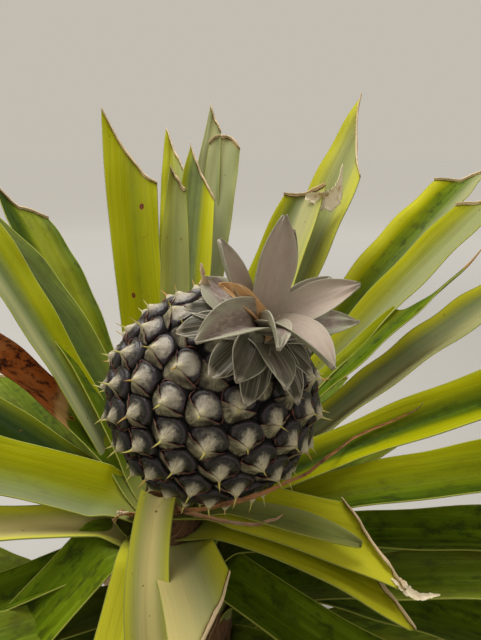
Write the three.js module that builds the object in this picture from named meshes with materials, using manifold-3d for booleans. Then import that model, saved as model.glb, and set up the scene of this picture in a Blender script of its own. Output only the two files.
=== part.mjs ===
// A pineapple plant: a short stem, a rosette of channelled leaves, one fruit on its stalk, and a crown on top.
// Millimetres, Z up. The origin is the flat cut of the stem at ground level, and the stem's axis is the Z axis.
// X runs to the right and Y away from a viewer who sees the fruit lean to the right and towards them.
import * as THREE from "three";
import { mergeVertices } from "three/addons/utils/BufferGeometryUtils.js";
import Module from "manifold-3d";

const wasm = await Module();
wasm.setup();

// The gap that every piece keeps to the one that carries it or lies beside it.
const FITTING_GAP = 0.3;
const MERGE_DISTANCE = 1e-4;

// Stem: the bases of old leaves packed round it make it a thick column, cut flat at the ground.
const STEM_FOOT_RADIUS = 47;
const STEM_FLARE_RADIUS = 41;
const STEM_FLARE_HEIGHT = 16;
const STEM_WAIST_RADIUS = 36;
const STEM_WAIST_HEIGHT = 60;
const STEM_MIDDLE_RADIUS = 40;
const STEM_MIDDLE_HEIGHT = 225;
const STEM_HEAD_RADIUS = 43;
const STEM_HEAD_HEIGHT = 316;
const STEM_SHOULDER_HEIGHT = 372;
const STEM_RIM_RADIUS = 26;
const STEM_RIM_HEIGHT = 383;
const STEM_TOP_RADIUS = 14;
const STEM_TOP_HEIGHT = 388;
const STEM_SIDES = 14;

// Fruit: a short barrel on a stalk, leaning to the right and towards the viewer.
const FRUIT_CENTRE = new THREE.Vector3(31, -12, 453);
const FRUIT_LEAN = new THREE.Vector3(0.39, -0.48, 0.785).normalize();
const FRUIT_RADIUS = 60;
const FRUIT_HALF_LENGTH = 58;
const FRUIT_SIDES = 20;
const FRUIT_RINGS = 10;
const STALK_RADIUS = 13;
const STALK_SIDES = 8;
const STALK_STEPS = 3;
const STALK_STRAIGHT_RISE = 10;
const STALK_HEAD_SHARE = 0.8;

// The eyes of the fruit lie on one spiral, a golden angle apart, in equal steps down the fruit's axis.
const EYE_COUNT = 150;
const EYE_START_DEGREES = 126;
const EYE_SPACING = 19;
const EYE_BULGE = 3;
const GOLDEN_ANGLE = Math.PI * (3 - Math.sqrt(5));

// Crown: a small heart seated on the end of the fruit, with leaves of its own.
const HEART_RADIUS = 11;
const HEART_HEIGHT = 15;
const HEART_SINK = 6;
const HEART_SIDES = 12;
const CROWN_RING_RADIUS = 8;
const CROWN_LEAF_FOLD = 20;
const CROWN_LEAF_WAIST = 0.7;

// Blades: rows along and strips across, the thickness at the middle and at the margin, and how deep they root.
const LEAF_FORM = { rows: 4, strips: 4, thickness: 2.8, margin: 1.3, rootDepth: 8 };
const LOWER_LEAF_FORM = { ...LEAF_FORM, rows: 3, strips: 2 };
const SKIRT_LEAF_FORM = { rows: 3, strips: 2, thickness: 2.4, margin: 1.3, rootDepth: 6 };
const CROWN_LEAF_FORM = { rows: 3, strips: 2, thickness: 1.3, margin: 0.8, rootDepth: 4 };

// A blade is a channel with a rounded bottom, narrow near the stem, and most are cut off before their tip.
const LEAF_RING_RADIUS = 46;
const LEAF_UNCUT_RATIO = 1.35;
const LEAF_WAIST = 0.44;
const WAIST_START = 0.06;
const WAIST_LENGTH = 0.42;
const TIP_SHARE = 0.52;
const TIP_ROUNDING = 0.8;
const NARROWEST_SHARE = 0.06;
const CHANNEL_ROUNDING = 0.18;
const SWEEP_POWER = 1.3;
const MARCH_STEPS = 60;

// Lower leaves: older ones down the stem, a golden angle apart, each lower, shorter and more drooping.
// Every second one is a piece of its own, and the ones between share a solid with the collar of their bases.
const LOWER_LEAF_COUNT = 18;
const LOWER_DEAD_COUNT = 6;
const LOWER_START_AZIMUTH = 78;
const LOWER_TOP_ROOT = 318;
const LOWER_ROOT_STEP = 9.5;
const LOWER_TOP_RISE = 20;
const LOWER_RISE_STEP = 2;
const LOWER_DROOP = 20;
const LOWER_TOP_LENGTH = 372;
const LOWER_LENGTH_STEP = 5;
const LOWER_WIDTH = 52;
const LOWER_FOLD = 20;
const LOWER_CUT = 34;
const LOWER_COLLAR_TOP = 300;
const LOWER_COLLAR_BOTTOM = 150;

// Filling leaves: shorter ones between the lower leaves, all in the shared solid.
const FILLING_LEAF_COUNT = 12;
const FILLING_START_AZIMUTH = 146;
const FILLING_TOP_ROOT = 300;
const FILLING_ROOT_STEP = 9;
const FILLING_TOP_RISE = 24;
const FILLING_RISE_STEP = 3;
const FILLING_DROOP = 24;
const FILLING_TOP_LENGTH = 300;
const FILLING_LENGTH_STEP = 4;
const FILLING_WIDTH = 50;

// Skirt: the oldest leaves hang dead round the foot of the stem, joined by the collar of their bases.
const SKIRT_LEAF_COUNT = 11;
const SKIRT_START_AZIMUTH = 15;
const SKIRT_TOP_ROOT = 134;
const SKIRT_ROOT_STEP = 6;
const SKIRT_RISE = -18;
const SKIRT_DROOP = 34;
const SKIRT_SWEEP = 14;
const SKIRT_WIDTH = 46;
const SKIRT_FOLD = 24;
const SKIRT_GROUND_CLEARANCE = 12;
const SKIRT_COLLAR_TOP = 146;
const SKIRT_COLLAR_BOTTOM = 52;
const COLLAR_RADIUS = 45;
const COLLAR_END_RADIUS = 41;
const COLLAR_TAPER_SHARE = 0.2;

const FINISHES = {
  leaf: { color: 0x7d8f2f, roughness: 0.5, metalness: 0 },
  lowerLeaf: { color: 0x5d7030, roughness: 0.55, metalness: 0 },
  deadLeaf: { color: 0x8a5a33, roughness: 0.85, metalness: 0 },
  fruit: { color: 0x57494b, roughness: 0.45, metalness: 0 },
  crown: { color: 0x766a70, roughness: 0.6, metalness: 0 },
  stem: { color: 0x7a6242, roughness: 0.9, metalness: 0 },
  stalk: { color: 0x6f7a45, roughness: 0.6, metalness: 0 },
};

const { degToRad, clamp, lerp } = THREE.MathUtils;

// Azimuths turn anticlockwise from +X seen from above; rise is the slope of the midrib above the horizon.
// cutClockwise and cutAnticlockwise say how much shorter the blade is at either margin, cutHollow at its middle.
const leaves = [
  { name: "back_leaf_1", azimuth: 107, root: 356, rise: 58, riseEnd: 45, length: 345, width: 52,
    fold: 19, cutClockwise: 105, cutAnticlockwise: 19, cutHollow: 10, sweep: -9, uncut: 750 },
  { name: "back_leaf_2", azimuth: 95, root: 330, rise: 54, riseEnd: 36, length: 387, width: 26,
    fold: 22, cutClockwise: 72, uncut: 505 },
  { name: "back_leaf_3", azimuth: 91.5, root: 375, rise: 72, riseEnd: 55, length: 222, width: 23,
    fold: 22, cutClockwise: 26, cutAnticlockwise: 6, uncut: 247 },
  { name: "back_leaf_4", azimuth: 88, root: 352, rise: 60, riseEnd: 47, length: 290, width: 36,
    fold: 24, cutClockwise: 62, sweep: -3, uncut: 375 },
  { name: "back_leaf_5", azimuth: 87, root: 286, rise: 62, riseEnd: 50, length: 412, width: 32,
    fold: 22, cutClockwise: 38, cutAnticlockwise: 5, sweep: -4, uncut: 451 },
  { name: "back_leaf_6", azimuth: 83, root: 347, rise: 53, riseEnd: 48, length: 318, width: 31,
    fold: 24, cutClockwise: 16, cutAnticlockwise: 8, cutHollow: -14, sweep: -1, uncut: 600 },
  { name: "right_back_leaf_1", azimuth: 57, root: 340, rise: 50, riseEnd: 42, length: 404, width: 48,
    fold: 22, cutClockwise: 112, cutHollow: 10, sweep: -3 },
  { name: "right_back_leaf_2", azimuth: 60, root: 364, rise: 52, riseEnd: 44, length: 250, width: 46,
    fold: 22, cutAnticlockwise: 14 },
  { name: "right_leaf_1", azimuth: 46, root: 352, rise: 33, riseEnd: 21, length: 450, width: 58,
    fold: 26, cutAnticlockwise: 45, cutHollow: -10 },
  { name: "right_leaf_2", azimuth: 37, root: 366, rise: 32, riseEnd: 26, length: 352, width: 44,
    fold: 28, cutAnticlockwise: 27, cutHollow: -12, uncut: 567 },
  { name: "right_leaf_3", azimuth: 30, root: 376, rise: 30, riseEnd: 27, length: 272, width: 26,
    fold: 26, cutAnticlockwise: 125, cutHollow: 40, uncut: 275 },
  { name: "right_leaf_4", azimuth: 27, root: 354, rise: 28, riseEnd: 15, length: 400, width: 44,
    fold: 28, cutAnticlockwise: 40 },
  { name: "right_leaf_5", azimuth: 14, root: 366, rise: 18, riseEnd: 0, length: 400, width: 50,
    fold: 26, cutAnticlockwise: 40, roll: 15 },
  { name: "right_leaf_6", azimuth: 1, root: 356, rise: 16, riseEnd: -8, length: 400, width: 52,
    fold: 28, cutClockwise: 40, roll: 14 },
  { name: "right_leaf_7", azimuth: 2, root: 336, rise: 4, riseEnd: -14, length: 330, width: 44,
    fold: 24, cutAnticlockwise: 30, roll: 8 },
  { name: "right_front_leaf_1", azimuth: -14, root: 376, rise: -8, riseEnd: -8, length: 98, width: 54,
    fold: 14, cutAnticlockwise: 38, roll: 24, uncut: 300 },
  { name: "right_front_leaf_2", azimuth: -18, root: 364, rise: -4, riseEnd: -20, length: 106, width: 50,
    fold: 14, cutAnticlockwise: 42, roll: 12, uncut: 300 },
  { name: "right_front_leaf_3", azimuth: -32, root: 330, rise: -10, riseEnd: -16, length: 300, width: 58,
    fold: 21, cutAnticlockwise: 20 },
  { name: "right_front_leaf_4", azimuth: -6, root: 316, rise: -8, riseEnd: -24, length: 300, width: 50,
    fold: 21, cutAnticlockwise: 20 },
  { name: "right_front_leaf_5", azimuth: -20, root: 377, rise: 2, riseEnd: -6, length: 74, width: 20,
    fold: 18, uncut: 76, waist: 0.8 },
  { name: "left_leaf_1", azimuth: 123.5, root: 348, rise: 39, riseEnd: 30, length: 340, width: 48,
    fold: 24, cutClockwise: 60, sweep: 8, uncut: 424 },
  { name: "left_leaf_2", azimuth: 130, root: 382, rise: 35, riseEnd: 17, length: 342, width: 48,
    fold: 24, cutAnticlockwise: 20, sweep: 18, uncut: 520 },
  { name: "left_leaf_3", azimuth: 140, root: 368, rise: 45, riseEnd: 31, length: 362, width: 41,
    fold: 28, cutClockwise: 30, uncut: 479 },
  { name: "left_leaf_4", azimuth: 144, root: 378, rise: 24, riseEnd: 0, length: 330, width: 38,
    fold: 22, cutAnticlockwise: 30, sweep: 8 },
  { name: "left_leaf_5", azimuth: 160, root: 362, rise: 26, riseEnd: 2, length: 380, width: 46,
    fold: 26, cutAnticlockwise: 30 },
  { name: "left_leaf_6", azimuth: 176, root: 374, rise: 16, riseEnd: -10, length: 380, width: 60,
    fold: 16, cutAnticlockwise: 30, roll: -24 },
  { name: "left_leaf_7", azimuth: 188, root: 356, rise: 6, riseEnd: -20, length: 380, width: 50,
    fold: 21, cutAnticlockwise: 30 },
  { name: "left_front_leaf_1", azimuth: 197, root: 336, rise: -12, riseEnd: -30, length: 300, width: 54,
    fold: 21, cutAnticlockwise: 20 },
  { name: "left_front_leaf_2", azimuth: 213, root: 352, rise: -36, riseEnd: -50, length: 300, width: 60,
    fold: 18, cutAnticlockwise: 30, roll: -10, waist: 0.7 },
  { name: "front_leaf_1", azimuth: 255, root: 358, rise: -44, riseEnd: -60, length: 225, width: 44,
    fold: 19, cutAnticlockwise: 30, sweep: 8 },
  { name: "front_leaf_2", azimuth: 290, root: 364, rise: 12, riseEnd: -6, length: 65, width: 46,
    fold: 13, cutAnticlockwise: 38, roll: 12, waist: 0.8, uncut: 200 },
  { name: "front_leaf_3", azimuth: 264, root: 388, rise: -27, riseEnd: -70, length: 116, width: 25,
    fold: 18, ring: 22, waist: 0.9, uncut: 138, sweep: 38 },
];

// Crown leaves in the fruit's own frame, where root is the height along its axis from the fruit's centre,
// and azimuths turn about that axis from the fruit's X axis.
const crownLeaves = [
  { azimuth: 116, root: 64, rise: 52, riseEnd: 58, length: 47, width: 20, fold: 26 },
  { azimuth: 28, root: 64, rise: 54, riseEnd: 46, length: 43, width: 19, fold: 24 },
  { azimuth: 102, root: 61, rise: 52, riseEnd: 58, length: 43, width: 16 },
  { azimuth: 54, root: 60, rise: 44, riseEnd: 34, length: 37, width: 15 },
  { azimuth: 164, root: 61, rise: 34, riseEnd: 48, length: 41, width: 16, fold: 28 },
  { azimuth: 24, root: 59, rise: 28, riseEnd: 14, length: 42, width: 17 },
  { azimuth: -84, root: 64, rise: 58, riseEnd: 2, length: 30, width: 13, fold: 44 },
  { azimuth: -44, root: 63, rise: 52, riseEnd: 6, length: 43, width: 20, fold: 30 },
  { azimuth: -170, root: 63, rise: 34, riseEnd: 16, length: 25, width: 12, fold: 40 },
  { azimuth: 150, root: 60, rise: 4, riseEnd: -10, length: 30, width: 22, fold: 10 },
  { azimuth: -132, root: 61, rise: 28, riseEnd: -12, length: 36, width: 22, fold: 30 },
  { azimuth: -66, root: 60, rise: 34, riseEnd: 0, length: 31, width: 17 },
  { azimuth: -98, root: 60, rise: 26, riseEnd: -10, length: 29, width: 18 },
].map((leaf, index) => ({
  name: `crown_leaf_${index + 1}`,
  riseEnd: leaf.rise,
  fold: CROWN_LEAF_FOLD,
  ring: CROWN_RING_RADIUS,
  uncut: leaf.length,
  waist: CROWN_LEAF_WAIST,
  ...leaf,
}));

const lowerLeaves = Array.from({ length: LOWER_LEAF_COUNT }, (_, index) => {
  const rise = LOWER_TOP_RISE - LOWER_RISE_STEP * index;
  const cutSide = index % 4 < 2 ? "cutAnticlockwise" : "cutClockwise";
  return {
    name: `lower_leaf_${index / 2 + 1}`,
    azimuth: LOWER_START_AZIMUTH + THREE.MathUtils.radToDeg(GOLDEN_ANGLE) * index,
    root: LOWER_TOP_ROOT - LOWER_ROOT_STEP * index,
    rise,
    riseEnd: rise - LOWER_DROOP,
    length: LOWER_TOP_LENGTH - LOWER_LENGTH_STEP * index,
    width: LOWER_WIDTH,
    fold: LOWER_FOLD,
    [cutSide]: LOWER_CUT,
    finish: index < LOWER_LEAF_COUNT - LOWER_DEAD_COUNT ? FINISHES.lowerLeaf : FINISHES.deadLeaf,
  };
});
const singleLowerLeaves = lowerLeaves.filter((_, index) => index % 2 === 0);
const sharedLowerLeaves = lowerLeaves.filter((_, index) => index % 2 === 1);

const fillingLeaves = Array.from({ length: FILLING_LEAF_COUNT }, (_, index) => {
  const rise = FILLING_TOP_RISE - FILLING_RISE_STEP * index;
  const cutSide = index % 4 < 2 ? "cutClockwise" : "cutAnticlockwise";
  return {
    azimuth: FILLING_START_AZIMUTH + THREE.MathUtils.radToDeg(GOLDEN_ANGLE) * index,
    root: FILLING_TOP_ROOT - FILLING_ROOT_STEP * index,
    rise,
    riseEnd: rise - FILLING_DROOP,
    length: FILLING_TOP_LENGTH - FILLING_LENGTH_STEP * index,
    width: FILLING_WIDTH,
    fold: LOWER_FOLD,
    [cutSide]: LOWER_CUT,
  };
});

// Each dead leaf is as long as reaches down almost to the ground at its mean slope.
const skirtLeaves = Array.from({ length: SKIRT_LEAF_COUNT }, (_, index) => {
  const root = SKIRT_TOP_ROOT - SKIRT_ROOT_STEP * index;
  const meanSlope = degToRad(SKIRT_DROOP / 2 - SKIRT_RISE);
  return {
    azimuth: SKIRT_START_AZIMUTH + THREE.MathUtils.radToDeg(GOLDEN_ANGLE) * index,
    root,
    rise: SKIRT_RISE,
    riseEnd: SKIRT_RISE - SKIRT_DROOP,
    length: (root - SKIRT_GROUND_CLEARANCE) / Math.sin(meanSlope),
    width: SKIRT_WIDTH,
    fold: SKIRT_FOLD,
    sweep: index % 2 ? SKIRT_SWEEP : -SKIRT_SWEEP,
    ring: COLLAR_RADIUS,
  };
});


// Half a blade's width at a share of its uncut length, as a share of the widest half.
function widthShare(share, waist) {
  const ramp = clamp((share - WAIST_START) / WAIST_LENGTH, 0, 1);
  const body = waist + (1 - waist) * ramp * ramp * (3 - 2 * ramp);
  const tip = clamp((1 - share) / TIP_SHARE, 0, 1);
  return Math.max(body * Math.sin((Math.PI / 2) * tip) ** TIP_ROUNDING, NARROWEST_SHARE);
}

// The midrib is marched from the root: at each step its slope and azimuth give the way it goes.
function marchMidrib(leaf) {
  const { azimuth, root, rise, riseEnd, length, sweep = 0, roll = 0, ring = LEAF_RING_RADIUS } = leaf;
  const turn = degToRad(azimuth);
  const place = new THREE.Vector3(Math.cos(turn) * ring, Math.sin(turn) * ring, root);
  const stations = [];
  for (let step = 0; step <= MARCH_STEPS; step += 1) {
    const share = step / MARCH_STEPS;
    const slope = degToRad(lerp(rise, riseEnd, share));
    const heading = degToRad(azimuth + sweep * share ** SWEEP_POWER);
    const level = new THREE.Vector3(Math.cos(heading), Math.sin(heading), 0);
    const along = level.clone().multiplyScalar(Math.cos(slope)).setZ(Math.sin(slope));
    const across = new THREE.Vector3(-level.y, level.x, 0).applyAxisAngle(along, degToRad(roll));
    const upward = along.clone().cross(across);
    if (step > 0) place.addScaledVector(along, length / MARCH_STEPS);
    stations.push({ place: place.clone(), along, across, upward });
  }
  return stations;
}

// How far along the midrib the blade ends, at a share of the way across it from its clockwise margin.
function endDistance(leaf, share) {
  const { length, cutClockwise = 0, cutAnticlockwise = 0, cutHollow = 0 } = leaf;
  return length - lerp(cutClockwise, cutAnticlockwise, share) - cutHollow * 4 * share * (1 - share);
}

// A point of the blade's upper face, with the way its face looks there. The side runs from -1 at the
// clockwise margin to 1 at the other, and the margins are lifted by the fold round a rounded bottom.
function bladePoint(leaf, stations, distance, side, allowance) {
  const { length, width, fold, waist = LEAF_WAIST, uncut = length * LEAF_UNCUT_RATIO } = leaf;
  const position = clamp(distance / length, 0, 1) * MARCH_STEPS;
  const index = Math.min(Math.floor(position), MARCH_STEPS - 1);
  const [near, far] = [stations[index], stations[index + 1]];
  const between = (key) => near[key].clone().lerp(far[key], position - index);
  const half = (width / 2) * widthShare(Math.max(distance, 0) / uncut, waist) + allowance;
  const rim = Math.hypot(1, CHANNEL_ROUNDING) - CHANNEL_ROUNDING;
  const lift = (Math.hypot(side, CHANNEL_ROUNDING) - CHANNEL_ROUNDING) / rim;
  const upward = between("upward");
  const point = between("place");
  point.addScaledVector(near.along, Math.min(distance, 0));
  point.addScaledVector(between("across"), half * side * Math.cos(degToRad(fold)));
  point.addScaledVector(upward, half * lift * Math.sin(degToRad(fold)));
  return { point, upward };
}

// Joins a grid of upper points and a grid of lower points, rows from root to tip, into one closed skin.
function closedBlade(upper, lower) {
  const rows = upper.length;
  const columns = upper[0].length;
  const positions = [...upper.flat(), ...lower.flat()].flatMap((point) => point.toArray());
  const top = (row, column) => row * columns + column;
  const under = (row, column) => rows * columns + top(row, column);
  const triangles = [];
  const quad = (a, b, c, d) => triangles.push(a, b, c, a, c, d);
  const last = columns - 1;
  const end = rows - 1;
  for (let row = 0; row < end; row += 1) {
    for (let column = 0; column < last; column += 1) {
      quad(top(row, column), top(row + 1, column), top(row + 1, column + 1), top(row, column + 1));
      quad(under(row, column), under(row, column + 1), under(row + 1, column + 1), under(row + 1, column));
    }
    quad(top(row, 0), under(row, 0), under(row + 1, 0), top(row + 1, 0));
    quad(top(row, last), top(row + 1, last), under(row + 1, last), under(row, last));
  }
  for (let column = 0; column < last; column += 1) {
    quad(top(0, column), top(0, column + 1), under(0, column + 1), under(0, column));
    quad(top(end, column), under(end, column), under(end, column + 1), top(end, column + 1));
  }
  const geometry = new THREE.BufferGeometry();
  geometry.setAttribute("position", new THREE.Float32BufferAttribute(positions, 3));
  geometry.setIndex(triangles);
  return geometry;
}

// A leaf's closed blade in the given form, or a copy of it grown all round by an allowance.
function bladeGeometry(leaf, form, allowance = 0) {
  const stations = marchMidrib(leaf);
  const upper = [];
  const lower = [];
  for (let row = 0; row <= form.rows; row += 1) {
    upper.push([]);
    lower.push([]);
    for (let strip = 0; strip <= form.strips; strip += 1) {
      const share = strip / form.strips;
      const side = 2 * share - 1;
      const start = -form.rootDepth - allowance;
      const distance = lerp(start, endDistance(leaf, share) + allowance, row / form.rows);
      const { point, upward } = bladePoint(leaf, stations, distance, side, allowance);
      const thickness = lerp(form.thickness, form.margin, Math.abs(side));
      upper[row].push(point.clone().addScaledVector(upward, allowance));
      lower[row].push(point.clone().addScaledVector(upward, -thickness - allowance));
    }
  }
  return closedBlade(upper, lower);
}

// Closed geometry to solid and back, for trimming one piece where it meets another.
function toSolid(geometry) {
  const bare = geometry.clone();
  bare.deleteAttribute("normal");
  bare.deleteAttribute("uv");
  const merged = mergeVertices(bare, MERGE_DISTANCE);
  const vertProperties = new Float32Array(merged.attributes.position.array);
  const triVerts = new Uint32Array(merged.index.array);
  return new wasm.Manifold(new wasm.Mesh({ numProp: 3, vertProperties, triVerts }));
}

function toGeometry(solid) {
  const { vertProperties, triVerts } = solid.getMesh();
  const geometry = new THREE.BufferGeometry();
  geometry.setAttribute("position", new THREE.BufferAttribute(new Float32Array(vertProperties), 3));
  geometry.setIndex(new THREE.BufferAttribute(new Uint32Array(triVerts), 1));
  return geometry;
}

// Cuts away what would touch the grown solids already there, and drops any sliver that this cuts loose.
function fitAmong(solid, grownNeighbours) {
  const touching = grownNeighbours.filter((other) => solid.intersect(other).volume() > 0);
  const rest = touching.reduce((left, other) => left.subtract(other), solid);
  return rest.decompose().reduce((best, body) => (body.volume() > best.volume() ? body : best));
}

// The stem, from the cut at the ground to the seat of the fruit's stalk, grown by an allowance.
function stemGeometry(allowance = 0) {
  const outline = [
    [STEM_FOOT_RADIUS, 0],
    [STEM_FLARE_RADIUS, STEM_FLARE_HEIGHT],
    [STEM_WAIST_RADIUS, STEM_WAIST_HEIGHT],
    [STEM_MIDDLE_RADIUS, STEM_MIDDLE_HEIGHT],
    [STEM_HEAD_RADIUS, STEM_HEAD_HEIGHT],
    [STEM_HEAD_RADIUS, STEM_SHOULDER_HEIGHT],
    [STEM_RIM_RADIUS, STEM_RIM_HEIGHT + allowance],
    [STEM_TOP_RADIUS, STEM_TOP_HEIGHT + allowance],
  ].map(([radius, height]) => new THREE.Vector2(radius + allowance, height));
  const foot = new THREE.Vector2(0, 0);
  const top = new THREE.Vector2(0, STEM_TOP_HEIGHT + allowance);
  return new THREE.LatheGeometry([foot, ...outline, top], STEM_SIDES).rotateX(Math.PI / 2);
}

// Leaves that share one solid, joined by the collar of their bases round the stem.
function joinedLeaves(list, form, bottom, top) {
  const outline = [
    [0, bottom],
    [COLLAR_END_RADIUS, bottom],
    [COLLAR_RADIUS, lerp(bottom, top, COLLAR_TAPER_SHARE)],
    [COLLAR_RADIUS, lerp(top, bottom, COLLAR_TAPER_SHARE)],
    [COLLAR_END_RADIUS, top],
    [0, top],
  ].map(([radius, height]) => new THREE.Vector2(radius, height));
  const collar = toSolid(new THREE.LatheGeometry(outline, STEM_SIDES).rotateX(Math.PI / 2));
  return list.reduce((joined, leaf) => joined.add(toSolid(bladeGeometry(leaf, form))), collar);
}

// The fruit's own frame: its axis is Z, and its X axis lies under the world's.
const fruitX = new THREE.Vector3(0, 1, 0).cross(FRUIT_LEAN).normalize();
const fruitY = FRUIT_LEAN.clone().cross(fruitX);
const fruitBasis = new THREE.Matrix4().makeBasis(fruitX, fruitY, FRUIT_LEAN);
const fruitPlacement = fruitBasis.clone().setPosition(FRUIT_CENTRE);

// Directions of the eyes from the fruit's centre, in the fruit's own frame.
const eyeDirections = Array.from({ length: EYE_COUNT }, (_, eye) => {
  const height = 1 - (2 * eye + 1) / EYE_COUNT;
  const turn = degToRad(EYE_START_DEGREES) - eye * GOLDEN_ANGLE;
  const radius = Math.sqrt(1 - height * height);
  return new THREE.Vector3(radius * Math.cos(turn), radius * Math.sin(turn), height);
});

// A sphere stretched to the fruit, swollen over each eye and sunk between them, grown by an allowance.
function fruitGeometry(allowance = 0) {
  const geometry = new THREE.SphereGeometry(1, FRUIT_SIDES, FRUIT_RINGS).rotateX(Math.PI / 2);
  const places = geometry.attributes.position;
  const direction = new THREE.Vector3();
  for (let index = 0; index < places.count; index += 1) {
    direction.fromBufferAttribute(places, index).normalize();
    const nearest = Math.min(...eyeDirections.map((eye) => eye.angleTo(direction)));
    const off = Math.min((nearest * FRUIT_RADIUS) / (EYE_SPACING / 2), 1);
    const growth = EYE_BULGE * (0.5 - off * off) + allowance;
    const radius = FRUIT_RADIUS + growth;
    const length = FRUIT_HALF_LENGTH + growth;
    places.setXYZ(index, direction.x * radius, direction.y * radius, direction.z * length);
  }
  return geometry;
}

// The stalk rises straight from the stem and bends into the fruit, whose seat is cut out of its head.
function stalkGeometry() {
  const foot = new THREE.Vector3(0, 0, STEM_TOP_HEIGHT + FITTING_GAP);
  const bend = foot.clone().setZ(foot.z + STALK_STRAIGHT_RISE);
  const head = FRUIT_CENTRE.clone().addScaledVector(FRUIT_LEAN, -FRUIT_HALF_LENGTH * STALK_HEAD_SHARE);
  const extrudePath = new THREE.QuadraticBezierCurve3(foot, bend, head);
  const section = new THREE.Shape().absarc(0, 0, STALK_RADIUS, 0, 2 * Math.PI);
  const curveSegments = STALK_SIDES / 2;
  return new THREE.ExtrudeGeometry(section, { steps: STALK_STEPS, curveSegments, extrudePath });
}

// The crown's heart: a blunt cone on the fruit's end, in the fruit's own frame, grown by an allowance.
function heartGeometry(allowance = 0) {
  const base = FRUIT_HALF_LENGTH - HEART_SINK;
  const outline = [
    [0, base],
    [HEART_RADIUS + allowance, base],
    [HEART_RADIUS + allowance, base + HEART_HEIGHT / 2],
    [HEART_RADIUS / 2 + allowance, base + HEART_HEIGHT + allowance],
    [0, base + HEART_HEIGHT + allowance],
  ].map(([radius, height]) => new THREE.Vector2(radius, height));
  return new THREE.LatheGeometry(outline, HEART_SIDES).rotateX(Math.PI / 2);
}

function addMesh(group, name, geometry, finish) {
  const mesh = new THREE.Mesh(geometry, new THREE.MeshStandardMaterial(finish));
  mesh.name = name;
  group.add(mesh);
}

// Adds leaves in turn, each trimmed where it would touch what is already there.
function addLeaves(group, list, form, grownNeighbours, finish) {
  for (const leaf of list) {
    const blade = fitAmong(toSolid(bladeGeometry(leaf, form)), grownNeighbours);
    addMesh(group, leaf.name, toGeometry(blade), leaf.finish ?? finish);
    grownNeighbours.push(toSolid(bladeGeometry(leaf, form, FITTING_GAP)));
  }
}

const plant = new THREE.Group();
addMesh(plant, "stem", stemGeometry(), FINISHES.stem);

const grownFruit = toSolid(fruitGeometry(FITTING_GAP));
const grownFruitInPlace = toSolid(fruitGeometry(FITTING_GAP).applyMatrix4(fruitPlacement));
const stalk = fitAmong(toSolid(stalkGeometry()), [grownFruitInPlace]);
addMesh(plant, "fruit_stalk", toGeometry(stalk), FINISHES.stalk);

const fruitGroup = new THREE.Group();
fruitGroup.position.copy(FRUIT_CENTRE);
fruitGroup.quaternion.setFromRotationMatrix(fruitBasis);
plant.add(fruitGroup);
addMesh(fruitGroup, "fruit", fruitGeometry(), FINISHES.fruit);
const heart = fitAmong(toSolid(heartGeometry()), [grownFruit]);
addMesh(fruitGroup, "crown_heart", toGeometry(heart), FINISHES.crown);
const grownHeart = toSolid(heartGeometry(FITTING_GAP));
addLeaves(fruitGroup, crownLeaves, CROWN_LEAF_FORM, [grownFruit, grownHeart], FINISHES.crown);

const grownNeighbours = [toSolid(stemGeometry(FITTING_GAP)), grownFruitInPlace];
addLeaves(plant, leaves, LEAF_FORM, grownNeighbours, FINISHES.leaf);
addLeaves(plant, singleLowerLeaves, LOWER_LEAF_FORM, grownNeighbours, FINISHES.lowerLeaf);

const sharedLeaves = [...sharedLowerLeaves, ...fillingLeaves];
const lowerMass = joinedLeaves(sharedLeaves, LOWER_LEAF_FORM, LOWER_COLLAR_BOTTOM, LOWER_COLLAR_TOP);
const lowerMassGeometry = toGeometry(fitAmong(lowerMass, grownNeighbours));
addMesh(plant, "lower_leaf_mass", lowerMassGeometry, FINISHES.lowerLeaf);
const skirt = joinedLeaves(skirtLeaves, SKIRT_LEAF_FORM, SKIRT_COLLAR_BOTTOM, SKIRT_COLLAR_TOP);
addMesh(plant, "dead_leaf_skirt", toGeometry(fitAmong(skirt, grownNeighbours)), FINISHES.deadLeaf);

export default plant;
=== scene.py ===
"""The looks of the pineapple plant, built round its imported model.

Shapes are worked out in millimetres, with Z up and the ground at zero, and go into the meshes in metres.
A leaf is a channelled blade carried along its midrib. The fruit is a dark core covered with eyes, each a
domed skin with a bract and a spine. Every piece rides on the one body.
"""

import math

import bpy
import numpy as np
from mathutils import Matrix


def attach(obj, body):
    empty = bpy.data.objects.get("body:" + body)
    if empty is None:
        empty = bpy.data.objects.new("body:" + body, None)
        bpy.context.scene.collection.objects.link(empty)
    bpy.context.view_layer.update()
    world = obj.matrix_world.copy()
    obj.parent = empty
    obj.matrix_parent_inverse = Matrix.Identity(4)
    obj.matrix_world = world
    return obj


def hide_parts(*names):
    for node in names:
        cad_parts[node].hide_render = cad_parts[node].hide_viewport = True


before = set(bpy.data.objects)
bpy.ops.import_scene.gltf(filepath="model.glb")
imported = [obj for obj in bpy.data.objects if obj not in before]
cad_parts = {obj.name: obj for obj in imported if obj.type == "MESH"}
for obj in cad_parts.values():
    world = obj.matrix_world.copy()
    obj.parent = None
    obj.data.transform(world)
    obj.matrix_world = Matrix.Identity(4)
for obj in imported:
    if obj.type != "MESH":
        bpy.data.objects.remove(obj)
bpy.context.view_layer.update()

MM = 0.001
GOLDEN_ANGLE = math.pi * (3 - math.sqrt(5))
GOLDEN_DEGREES = math.degrees(GOLDEN_ANGLE)
SEED = 41
UP = np.array([0.0, 0.0, 1.0])

# The camera stands in front of the plant, a little above the fruit, and looks down at it.
CAMERA_PLACE = (0.0457, -0.2522, 0.5786)
CAMERA_PITCH = 19
LENS = 27.06
SENSOR = 36
NEAREST_SEEN = 0.01

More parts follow.
